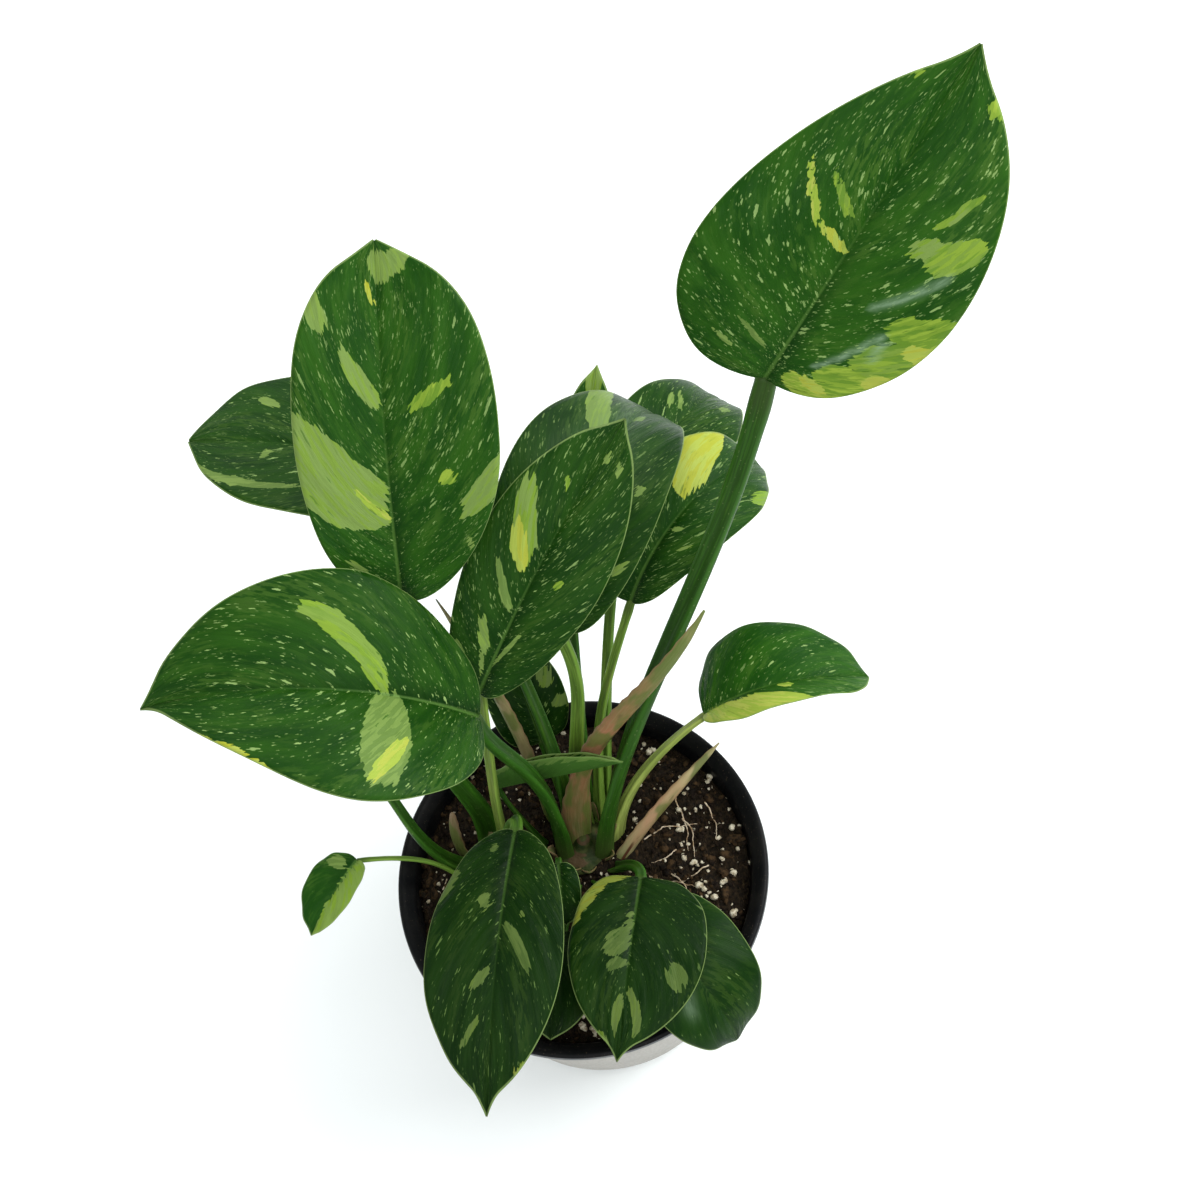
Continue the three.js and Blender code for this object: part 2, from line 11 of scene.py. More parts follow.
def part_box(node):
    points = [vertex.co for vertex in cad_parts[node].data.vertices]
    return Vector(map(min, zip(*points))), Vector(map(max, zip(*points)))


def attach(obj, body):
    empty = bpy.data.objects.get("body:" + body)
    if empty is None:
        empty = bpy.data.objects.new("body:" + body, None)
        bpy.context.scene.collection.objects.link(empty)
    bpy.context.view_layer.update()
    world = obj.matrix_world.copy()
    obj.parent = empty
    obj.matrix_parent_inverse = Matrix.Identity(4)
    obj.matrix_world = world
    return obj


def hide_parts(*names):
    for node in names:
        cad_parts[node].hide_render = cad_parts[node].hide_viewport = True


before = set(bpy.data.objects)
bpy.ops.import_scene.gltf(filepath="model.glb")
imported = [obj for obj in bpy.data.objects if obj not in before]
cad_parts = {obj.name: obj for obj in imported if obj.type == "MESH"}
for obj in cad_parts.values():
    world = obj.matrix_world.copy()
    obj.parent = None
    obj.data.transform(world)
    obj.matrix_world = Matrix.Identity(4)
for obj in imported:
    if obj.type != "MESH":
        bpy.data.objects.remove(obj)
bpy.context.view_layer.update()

# The camera is where a person stands close in front of the pot and looks down on the plant, a little
# turned and tilted.
lens = bpy.data.cameras.new("camera")
lens.lens = 39
camera = bpy.data.objects.new("camera", lens)
camera.location = (0.030, -0.2005, 0.613)
camera.rotation_euler = [math.radians(turn) for turn in (32.01, 6.20, -9.79)]
bpy.context.scene.collection.objects.link(camera)
bpy.context.scene.camera = camera


# The pot is one moulding of thin plastic, black inside and over the rim's edge and pale grey outside. It is
# turned as one skin from a profile, and six drain holes are cut in its floor.
def loft(name, rings, marks=None):
    """A closed skin over rings of points, with both ends drawn together in their middles. Each entry of
    marks is a vector for each point, kept as an attribute of the mesh for the material to read."""
    count, sides = rings.shape[:2]
    points = np.concatenate([rings.reshape(-1, 3), rings[:1].mean(1), rings[-1:].mean(1)])
    ring, side = np.meshgrid(np.arange(count - 1), np.arange(sides), indexing="ij")
    a = ring * sides + side
    b = ring * sides + (side + 1) % sides
    walls = np.stack([a, b, b + sides, a + sides], -1).reshape(-1, 4)
    k = np.arange(sides)
    start = np.stack([np.full(sides, count * sides), (k + 1) % sides, k], -1)
    top = (count - 1) * sides
    end = np.stack([np.full(sides, count * sides + 1), top + k, top + (k + 1) % sides], -1)
    p, q, r, s = (points[walls[:, i]] for i in range(4))
    volume = np.sum(p * (np.cross(q, r) + np.cross(r, s)))
    step = 1 if volume > 0 else -1
    faces = [list(face)[::step] for part in (walls, start, end) for face in part.tolist()]
    mesh = bpy.data.meshes.new(name)
    mesh.from_pydata(points.tolist(), [], faces)
    mesh.polygons.foreach_set("use_smooth", [True] * len(faces))
    for key, values in (marks or {}).items():
        flat = np.concatenate([values.reshape(-1, 3), values[:1].mean(1), values[-1:].mean(1)])
        mesh.attributes.new(key, "FLOAT_VECTOR", "POINT").data.foreach_set("vector", flat.ravel())
    mesh.update()
    return mesh


def turned(profile, sides):
    """Rings of points round the vertical axis, one for each (radius, height) of the profile."""
    turn = np.linspace(0, 2 * np.pi, sides, endpoint=False)
    radius, height = np.array(profile).T
    flat = radius[:, None] * np.ones(sides)
    return np.stack([flat * np.cos(turn), flat * np.sin(turn), height[:, None] + 0 * flat], -1)


def piece(name, mesh, slot, *nodes):
    """Puts a finished mesh in the scene, on the part's one body, in place of its CAD nodes."""
    made = bpy.data.objects.new(name, mesh)
    bpy.context.scene.collection.objects.link(made)
    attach(made, "root")
    if nodes:
        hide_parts(*nodes)
    return made


def feed(tree, node, inputs):
    """Fills a node's inputs: a socket is linked to its input and anything else is set on it."""
    for key, value in inputs.items():
        if isinstance(value, bpy.types.NodeSocket):
            tree.links.new(value, node.inputs[key])
        else:
            node.inputs[key].default_value = value


def add(tree, kind, inputs=None, **settings):
    """Adds one node, with its settings by name and its inputs by name or number."""
    node = tree.nodes.new(kind)
    for key, value in settings.items():
        setattr(node, key, value)
    feed(tree, node, inputs or {})
    return node


def finish_of(name):
    """A new material with an empty tree, its shader and its output joined."""
    material = bpy.data.materials.new(name)
    material.use_nodes = True
    tree = material.node_tree
    tree.nodes.clear()
    shader = add(tree, "ShaderNodeBsdfPrincipled")
    output = add(tree, "ShaderNodeOutputMaterial")
    tree.links.new(shader.outputs[0], output.inputs["Surface"])
    return material, tree, shader


def blend(tree, share, under, over):
    """The colour that goes from under to over as the share grows; each is a colour or a socket."""
    under, over = ((*colour, 1) if isinstance(colour, tuple) else colour for colour in (under, over))
    return add(tree, "ShaderNodeMix", {0: share, 6: under, 7: over}, data_type="RGBA").outputs[2]


def own_place(tree):
    """Where a point lies in its piece, which sits unturned at the origin."""
    return add(tree, "ShaderNodeTexCoord").outputs["Object"]


def maths(tree, operation, a, b=0.0, c=0.0):
    return add(tree, "ShaderNodeMath", {0: a, 1: b, 2: c}, operation=operation).outputs[0]


def fade(tree, value, low, high, to_low=0.0, to_high=1.0):
    """Goes smoothly from to_low to to_high while the value goes from low to high."""
    inputs = {0: value, 1: low, 2: high, 3: to_low, 4: to_high}
    return add(tree, "ShaderNodeMapRange", inputs, interpolation_type="SMOOTHSTEP").outputs[0]


def grain(tree, place, size, stretch=(1, 1, 1), detail=2.0, rough=0.5):
    """Noise from 0 to 1 with grains of about that size, drawn out by stretch along each axis."""
    scale = [1 / (size * part) for part in stretch]
    moved = add(tree, "ShaderNodeMapping", {"Vector": place, "Scale": scale})
    inputs = {"Vector": moved.outputs[0], "Scale": 1.0, "Detail": detail, "Roughness": rough}
    return add(tree, "ShaderNodeTexNoise", inputs).outputs["Fac"]


def relief(tree, shader, height, distance, strength=1.0):
    bump = add(tree, "ShaderNodeBump", {"Height": height, "Distance": distance, "Strength": strength})
    feed(tree, shader, {"Normal": bump.outputs[0]})


def plastic(name, colour, dust, rough, scuff):
    material, tree, shader = finish_of(name)
    place = own_place(tree)
    clouds = grain(tree, place, 0.012, detail=4)
    scuffs = grain(tree, place, 0.0011, (1, 1, 7), detail=3)
    specks = fade(tree, grain(tree, place, 0.0007, detail=1), 0.70, 0.74)
    soil_brown = (0.16, 0.12, 0.08)
    colour = blend(tree, fade(tree, clouds, 0.35, 0.75), colour, dust)
    colour = blend(tree, maths(tree, "MULTIPLY", specks, scuff), colour, soil_brown)
    feed(tree, shader, {"Base Color": colour, "Specular IOR Level": 0.10,
                        "Roughness": fade(tree, scuffs, 0.3, 0.8, rough, rough + 0.16)})
    relief(tree, shader, scuffs, 0.00012, 0.5)
    return material


# The rim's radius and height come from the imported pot. BASE is the radius at the foot, FLOOR the thickness
# of the floor, BAND where the rim's band starts and SOIL the level of the mix.
POT_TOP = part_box("pot")[1]
RIM, HEIGHT = POT_TOP.x, POT_TOP.z
BASE = 0.0605
FLOOR = 0.0024
BAND = HEIGHT - 0.006
SOIL = 0.090
outer_wall = [(BASE - 0.0035, 0), (BASE - 0.0016, 0.0004), (BASE - 0.0005, 0.0014), (BASE, 0.0032)]
outer_wall += [(BASE + (RIM - 0.0026 - BASE) * share, BAND * share) for share in (0.1, 0.4, 0.7, 0.97, 1)]
band = [(RIM - 0.0012, BAND + 0.0002), (RIM - 0.0005, BAND + 0.0009), (RIM - 0.0003, BAND + 0.003)]
band += [(RIM, HEIGHT - 0.0022), (RIM - 0.0003, HEIGHT - 0.0009), (RIM - 0.001, HEIGHT - 0.0001)]
flange = [(RIM - 0.0018, HEIGHT), (RIM - 0.0027, HEIGHT - 0.0003), (RIM - 0.0038, HEIGHT - 0.0012)]
flange += [(RIM - 0.0062, HEIGHT - 0.0034), (RIM - 0.0069, HEIGHT - 0.0044), (RIM - 0.0070, BAND - 0.001)]
inner_wall = [(RIM - 0.0072, BAND - 0.003), (BASE + 0.0004, 0.020), (BASE - 0.0016, 0.0052)]
inner_wall += [(BASE - 0.0022, FLOOR + 0.0009), (BASE - 0.0036, FLOOR), (0.012, FLOOR)]
profile = [(0.012, 0)] + outer_wall + band + flange + inner_wall
POT_SIDES = 180
pot_mesh = loft("pot", turned(profile, POT_SIDES))
plastics = [
    plastic("black pot plastic", (0.0028, 0.0032, 0.0040), (0.0080, 0.0078, 0.0075), 0.36, 0.3),
    plastic("pale pot plastic", (0.355, 0.338, 0.308), (0.315, 0.300, 0.272), 0.42, 0.25),
    plastic("painted rim highlight", (0.10, 0.105, 0.11), (0.16, 0.16, 0.155), 0.3, 0.2),
]
PALE, RIM_HIGHLIGHT = 1, 2
for material in plastics:
    pot_mesh.materials.append(material)
# One row of faces on the outer lip of the rim carries a painted highlight, a thin pale grey line along the
# rim's edge; the rows below it on the outside are pale grey plastic.
lip_row = len(outer_wall) + len(band) - 2
for row in range(1, lip_row + 1):
    for index in range(POT_SIDES * row, POT_SIDES * (row + 1)):
        pot_mesh.polygons[index].material_index = RIM_HIGHLIGHT if row == lip_row else PALE

HOLES, HOLE_RADIUS, HOLE_CIRCLE, DRILL_LENGTH = 6, 0.0045, 0.042, 0.012
holes = bmesh.new()
for turn in range(HOLES):
    angle = 2 * math.pi * (turn + 0.5) / HOLES
    place = (HOLE_CIRCLE * math.cos(angle), HOLE_CIRCLE * math.sin(angle), 0)
    hole = bmesh.ops.create_cone(holes, cap_ends=True, segments=32, radius1=HOLE_RADIUS, radius2=HOLE_RADIUS,
                                 depth=DRILL_LENGTH)
    bmesh.ops.translate(holes, verts=hole["verts"], vec=place)
hole_mesh = bpy.data.meshes.new("drain holes")
holes.to_mesh(hole_mesh)
holes.free()
cutter = bpy.data.objects.new("drain holes", hole_mesh)
blank = bpy.data.objects.new("pot blank", pot_mesh)
for part in (cutter, blank):
    bpy.context.scene.collection.objects.link(part)
drill = blank.modifiers.new("drain holes", "BOOLEAN")
drill.object = cutter
drill.operation = "DIFFERENCE"
drill.solver = "EXACT"
view = bpy.context.evaluated_depsgraph_get()
pot_mesh = bpy.data.meshes.new_from_object(blank.evaluated_get(view))
bpy.data.objects.remove(blank)
bpy.data.objects.remove(cutter)
piece("nursery_pot", pot_mesh, "pot", "pot")


# The growing mix is moist dark peat and fine bark, uneven on top. On it and half in it lie white perlite,
# bark crumbs and a few fine cream roots that reached the surface.
def soil_height(x, y):
    """How far the top of the mix stands above its level, at a place in metres."""
    swell = 0.6 * math.sin(x / 0.011 + 0.6) * math.cos(y / 0.009 - 0.4)
    swell += 0.4 * math.sin(x / 0.005 + y / 0.007)
    lumps = noise.noise((x * 210, y * 210, 4)) + 0.5 * noise.noise((x * 520, y * 520, 9))
    return 0.0022 * swell + 0.0013 * lumps


def peat():
    material, tree, shader = finish_of("moist peat")
    place = own_place(tree)
    crumbs = grain(tree, place, 0.0016, detail=5, rough=0.65)
    fibres = grain(tree, place, 0.0008, (1, 5, 1), detail=3)
    wet = grain(tree, place, 0.009, detail=2)
    colour = blend(tree, fade(tree, crumbs, 0.35, 0.7), (0.0045, 0.0030, 0.0014), (0.026, 0.016, 0.0070))
    colour = blend(tree, fade(tree, fibres, 0.62, 0.72), colour, (0.055, 0.035, 0.018))
    feed(tree, shader, {"Base Color": colour, "Specular IOR Level": 0.12,
                        "Roughness": fade(tree, wet, 0.4, 0.65, 0.62, 0.95)})
    relief(tree, shader, maths(tree, "ADD", crumbs, fibres), 0.0012)
    return material


MIX_SIDES, MIX_RINGS = 150, 60
mix_foot = BASE - 0.0022
mix_edge = RIM - 0.0076
mix_profile = [(0.02, FLOOR + 0.0003), (mix_foot - 0.001, FLOOR + 0.0003), (mix_foot, FLOOR + 0.004)]
mix_profile += [(mix_edge, SOIL - 0.002)]
top_ring = len(mix_profile)
mix_profile += [(mix_edge * (1 - step / MIX_RINGS) ** 0.8, SOIL) for step in range(1, MIX_RINGS - 1)]
mix_rings = turned(mix_profile, MIX_SIDES)
for ring in mix_rings[top_ring:]:
    for point in ring:
        point[2] += soil_height(point[0], point[1])
mix_mesh = loft("mix", mix_rings)
mix_mesh.materials.append(peat())
piece("growing_mix", mix_mesh, "mix", "mix")


def group_inputs(tree, sizes):
    """Gives a node tree its geometry sockets and a named number for each of its sizes."""
    tree.interface.new_socket("Geometry", in_out="INPUT", socket_type="NodeSocketGeometry")
    for key, value in sizes.items():
        kind = "NodeSocketInt" if isinstance(value, int) else "NodeSocketFloat"
        tree.interface.new_socket(key, in_out="INPUT", socket_type=kind)
    tree.interface.new_socket("Geometry", in_out="OUTPUT", socket_type="NodeSocketGeometry")
    return add(tree, "NodeGroupInput").outputs, add(tree, "NodeGroupOutput")


def grown(name, tree, mesh, sizes):
    """Runs a geometry tree on a mesh with its named sizes and gives the plain mesh that comes out."""
    carrier = bpy.data.objects.new(name, mesh)
    bpy.context.scene.collection.objects.link(carrier)
    modifier = carrier.modifiers.new(name, "NODES")
    modifier.node_group = tree
    for item in tree.interface.items_tree:
        if item.in_out == "INPUT" and item.name in sizes:
            modifier[item.identifier] = sizes[item.name]
    result = bpy.data.meshes.new_from_object(carrier.evaluated_get(bpy.context.evaluated_depsgraph_get()))
    carrier.modifiers.remove(modifier)
    bpy.data.objects.remove(carrier)
    result.name = name
    return result


def crumb_tree(material, sizes, strewn=True):
    """Crumbs, strewn over what faces up or one at each of the mesh's own points: cubes drawn half round,
    turned at random and knocked out of true."""
    tree = bpy.data.node_groups.new("strewn crumbs", "GeometryNodeTree")
    given, output = group_inputs(tree, sizes)
    normal = add(tree, "GeometryNodeInputNormal").outputs[0]
    up = add(tree, "ShaderNodeSeparateXYZ", {0: normal}).outputs["Z"]
    place = add(tree, "GeometryNodeInputPosition").outputs[0]
    level = add(tree, "ShaderNodeSeparateXYZ", {0: place}).outputs["Z"]
    on_top = maths(tree, "MULTIPLY", maths(tree, "GREATER_THAN", up, 0.3),
                   maths(tree, "GREATER_THAN", level, SOIL - 0.006))
    if strewn:
        spots = add(tree, "GeometryNodeDistributePointsOnFaces",
                    {"Mesh": given["Geometry"], "Selection": on_top, "Density": given["Density"],
                     "Seed": given["Seed"]})
    else:
        spots = add(tree, "GeometryNodeMeshToPoints", {"Mesh": given["Geometry"]})
    block = add(tree, "GeometryNodeMeshCube",
                {"Size": (1, 1, 1), "Vertices X": 3, "Vertices Y": 3, "Vertices Z": 3})
    round_place = add(tree, "ShaderNodeVectorMath", {0: place}, operation="NORMALIZE").outputs[0]
    drawn = add(tree, "ShaderNodeMix", {0: 0.72, 4: place, 5: round_place}, data_type="VECTOR").outputs[1]
    rounded = add(tree, "GeometryNodeSetPosition", {"Geometry": block.outputs[0], "Position": drawn})
    spin = add(tree, "FunctionNodeRandomValue", {0: (0, 0, 0), 1: (6.28, 6.28, 6.28), "Seed": given["Seed"]},
               data_type="FLOAT_VECTOR").outputs[0]
    turn = add(tree, "FunctionNodeEulerToRotation", {0: spin}).outputs[0]
    chance = add(tree, "FunctionNodeRandomValue", {"Seed": given["Seed"]}, data_type="FLOAT").outputs[1]
    few_large = maths(tree, "POWER", chance, 2.2)
    spread = maths(tree, "SUBTRACT", given["Largest"], given["Smallest"])
    size = maths(tree, "MULTIPLY_ADD", few_large, spread, given["Smallest"])
    length = add(tree, "ShaderNodeCombineXYZ", {0: 1.0, 1: 1.0, 2: given["Length"]}).outputs[0]
    scale = add(tree, "ShaderNodeVectorMath", {0: length, 3: size}, operation="SCALE").outputs[0]
    placed = add(tree, "GeometryNodeInstanceOnPoints",
                 {"Points": spots.outputs["Points"], "Instance": rounded.outputs[0], "Rotation": turn,
                  "Scale": scale})
    real = add(tree, "GeometryNodeRealizeInstances", {0: placed.outputs[0]})
    knocks = add(tree, "ShaderNodeTexNoise", {"Vector": place, "Scale": given["Knock scale"], "Detail": 1.0})
    middle = add(tree, "ShaderNodeVectorMath", {0: knocks.outputs["Color"], 1: (0.5, 0.5, 0.5)},
                 operation="SUBTRACT").outputs[0]
    knock = add(tree, "ShaderNodeVectorMath", {0: middle, 3: given["Knock"]}, operation="SCALE").outputs[0]
    shaped = add(tree, "GeometryNodeSetPosition", {"Geometry": real.outputs[0], "Offset": knock})
    smooth = add(tree, "GeometryNodeSetShadeSmooth", {"Geometry": shaped.outputs[0]})
    painted = add(tree, "GeometryNodeSetMaterial", {"Geometry": smooth.outputs[0], "Material": material})
    tree.links.new(painted.outputs[0], output.inputs[0])
    return tree


def crumb_finish(name, dark, light, rough, size):
    material, tree, shader = finish_of(name)
    place = own_place(tree)
    patches = grain(tree, place, size, detail=4, rough=0.6)
    pores = grain(tree, place, size / 4, detail=2)
    colour = blend(tree, fade(tree, patches, 0.35, 0.62), dark, light)
    feed(tree, shader, {"Base Color": colour, "Roughness": rough, "Specular IOR Level": 0.12})
    relief(tree, shader, pores, 0.0004)
    return material


perlite = crumb_finish("perlite", (0.34, 0.28, 0.18), (0.70, 0.65, 0.50), 0.9, 0.0016)
bark = crumb_finish("bark crumbs", (0.008, 0.0052, 0.0026), (0.058, 0.033, 0.014), 0.8, 0.0024)
peat_crumb = crumb_finish("peat crumbs", (0.0045, 0.0033, 0.0022), (0.018, 0.011, 0.0065), 0.9, 0.0015)
strewn_kinds = {
    "perlite_grains": (perlite, {"Density": 24000.0, "Smallest": 0.0003, "Largest": 0.0012, "Length": 1.25,
                                 "Knock": 0.0019, "Knock scale": 1000.0, "Seed": 3}),
    "bark_crumbs": (bark, {"Density": 34000.0, "Smallest": 0.0005, "Largest": 0.0021, "Length": 1.9,
                           "Knock": 0.0024, "Knock scale": 600.0, "Seed": 11}),
    "peat_crumbs": (peat_crumb, {"Density": 90000.0, "Smallest": 0.0005, "Largest": 0.0015, "Length": 1.3,
                                 "Knock": 0.0020, "Knock scale": 800.0, "Seed": 23}),
}
for name, (material, sizes) in strewn_kinds.items():
    crumbs = grown(name, crumb_tree(material, sizes), mix_mesh, sizes)
    piece(name, crumbs, "mix")

# The larger perlite grains lie in clusters of four or five, each cluster at a place in mm
clusters = [(38.6, 49.9), (44.2, 13.5), (54.5, 18.8), (46.5, 20.5), (33, 19.5), (48.7, 26.7), (65.5, 6),
            (56, -14.5), (50.4, -20), (61.4, -12), (58, -29.5), (43, -2.5), (47.5, -4.5), (-10.5, -62),
            (-6, -64), (48, -16), (42, 44.5), (28, -22), (-58, 20), (-64, -8), (20, 62), (-20, 60),
            (-45, -32), (61, 32)]
chances = np.random.default_rng(7)
grain_places = []
for x, y in clusters:
    for spread in chances.normal(0, 0.0010, (int(chances.integers(3, 7)), 2)):
        spot = (x / 1000 + spread[0], y / 1000 + spread[1])
        grain_places.append((*spot, SOIL + soil_height(*spot) + 0.0006))
cluster_points = bpy.data.meshes.new("perlite clusters")
cluster_points.from_pydata(grain_places, [], [])
cluster_sizes = {"Density": 0.0, "Smallest": 0.0007, "Largest": 0.0017, "Length": 1.2, "Knock": 0.0016,
                 "Knock scale": 900.0, "Seed": 5}
cluster_tree = crumb_tree(perlite, cluster_sizes, strewn=False)
piece("perlite_clusters", grown("perlite_clusters", cluster_tree, cluster_points, cluster_sizes), "mix")


def root_tree(material, sizes):
    """Runs a thin round root along each edge path, with small wanderings."""
    tree = bpy.data.node_groups.new("fine roots", "GeometryNodeTree")
    given, output = group_inputs(tree, sizes)
    path = add(tree, "GeometryNodeMeshToCurve", {"Mesh": given["Geometry"]})
    even = add(tree, "GeometryNodeResampleCurve", {"Curve": path.outputs[0], "Count": 60})
    place = add(tree, "GeometryNodeInputPosition").outputs[0]
    drift = add(tree, "ShaderNodeTexNoise", {"Vector": place, "Scale": given["Wander scale"], "Detail": 3.0})
    middle = add(tree, "ShaderNodeVectorMath", {0: drift.outputs["Color"], 1: (0.5, 0.5, 0.5)},
                 operation="SUBTRACT").outputs[0]
    offset = add(tree, "ShaderNodeVectorMath", {0: middle, 3: given["Wander"]}, operation="SCALE").outputs[0]
    wandering = add(tree, "GeometryNodeSetPosition", {"Geometry": even.outputs[0], "Offset": offset})
    share = add(tree, "GeometryNodeSplineParameter").outputs["Factor"]
    taper = maths(tree, "MULTIPLY_ADD", share, -0.6, 1.0)
    radius = maths(tree, "MULTIPLY", taper, given["Thickness"])
    ring = add(tree, "GeometryNodeCurvePrimitiveCircle", {"Resolution": 7, "Radius": 1.0})
    tube = add(tree, "GeometryNodeCurveToMesh",
               {"Curve": wandering.outputs[0], "Profile Curve": ring.outputs[0], "Scale": radius,
                "Fill Caps": True})
    smooth = add(tree, "GeometryNodeSetShadeSmooth", {"Geometry": tube.outputs[0]})
    painted = add(tree, "GeometryNodeSetMaterial", {"Geometry": smooth.outputs[0], "Material": material})
    tree.links.new(painted.outputs[0], output.inputs[0])
    return tree


root_finish = crumb_finish("fine roots", (0.30, 0.20, 0.11), (0.62, 0.52, 0.38), 0.7, 0.003)

# Each root lies on the mix from its first place to its last by way of its middle, in mm
root_ways = [
    ((26.5, 9.5), (37.5, 15.5), (50.5, 12.5)), ((44.5, 25.5), (47.5, 15.5), (45.5, 1.5)),
    ((45.5, 16.5), (50.5, 8.5), (47.5, -2.5)), ((24.5, -4.5), (33.5, -10.5), (45.5, -16.5)),
    ((36.5, -8.5), (42.5, -14.5), (40.5, -24.5)), ((52.5, -6.5), (46.5, -11.5), (38.5, -12.5)),
    ((-57.5, 9.5), (-62.5, -0.5), (-59.5, -12.5)), ((-51.5, -4.5), (-56.5, -12.5), (-52.5, -22.5)),
    ((12.5, -14.5), (22.5, -22.5), (20.5, -36.5)), ((40.5, 3.5), (34.5, -2.5), (28.5, -0.5)),
    ((56.5, 19.5), (60.5, 11.5), (58.5, 3.5)),
]
ROOT_STEPS = 12
root_paths = bpy.data.meshes.new("root paths")
places = []
edges = []
for (x0, y0), (x1, y1), (x2, y2) in root_ways:
    for step in range(ROOT_STEPS + 1):
        t = step / ROOT_STEPS
        x = ((1 - t) ** 2 * x0 + 2 * t * (1 - t) * x1 + t * t * x2) / 1000
        y = ((1 - t) ** 2 * y0 + 2 * t * (1 - t) * y1 + t * t * y2) / 1000
        if step:
            edges.append((len(places) - 1, len(places)))
        places.append((x, y, SOIL + soil_height(x, y) + 0.0009))
root_paths.from_pydata(places, edges, [])
root_sizes = {"Thickness": 0.00034, "Wander": 0.006, "Wander scale": 90.0}
piece("fine_roots", grown("fine_roots", root_tree(root_finish, root_sizes), root_paths, root_sizes), "mix")


# The two crowns are short knotty stems, sunk in the mix, dark olive with the tan scars of old leaves. The
# feet of the stalks stand round them.
def crown_finish():
    material, tree, shader = finish_of("knotty stem")
    place = own_place(tree)
    knots = grain(tree, place, 0.005, detail=4, rough=0.6)
    scars = grain(tree, place, 0.0022, (6, 6, 1), detail=3)
    colour = blend(tree, fade(tree, knots, 0.35, 0.68), (0.018, 0.034, 0.006), (0.065, 0.078, 0.020))
    colour = blend(tree, fade(tree, scars, 0.56, 0.64), colour, (0.085, 0.055, 0.025))
    feed(tree, shader, {"Base Color": colour, "Roughness": 0.6, "Specular IOR Level": 0.2})
    relief(tree, shader, maths(tree, "ADD", knots, scars), 0.0009)
    return material


knotty = crown_finish()

# Where each crown stands, and then the radius of its collar and of its core and the height of its top
CROWNS = {"main": (2.5, 12.5), "left": (-37.5, 12.5)}
crown_sizes = {"main": (12.5, 3, 99), "left": (10, 2.5, 97)}
for name, (collar, core, top) in crown_sizes.items():
    stem_profile = [(2, 70), (collar - 4, 70), (collar, 80), (collar + 0.2, 88), (collar - 0.6, 91.5)]
    stem_profile += [(collar - 3, 93), (core + 4, 94), (core + 2, top - 4), (core, top - 1.6), (0.5, top)]
    rings = turned(stem_profile, 64)
    rings = np.repeat(rings, 3, axis=0)[1:-1]
    rings[1:-1] = (rings[:-2] + rings[1:-1] + rings[2:]) / 3
    for ring in rings:
        for point in ring:
            swell = 1 + 0.11 * noise.noise((point[0] * 0.16, point[1] * 0.16, point[2] * 0.3))
            point[:2] *= swell
    rings[..., 0] += CROWNS[name][0]
    rings[..., 1] += CROWNS[name][1]
    stem = loft("crown " + name, rings / 1000)
    stem.materials.append(knotty)
    piece("crown_" + name, stem, "stem", "stem_" + name)
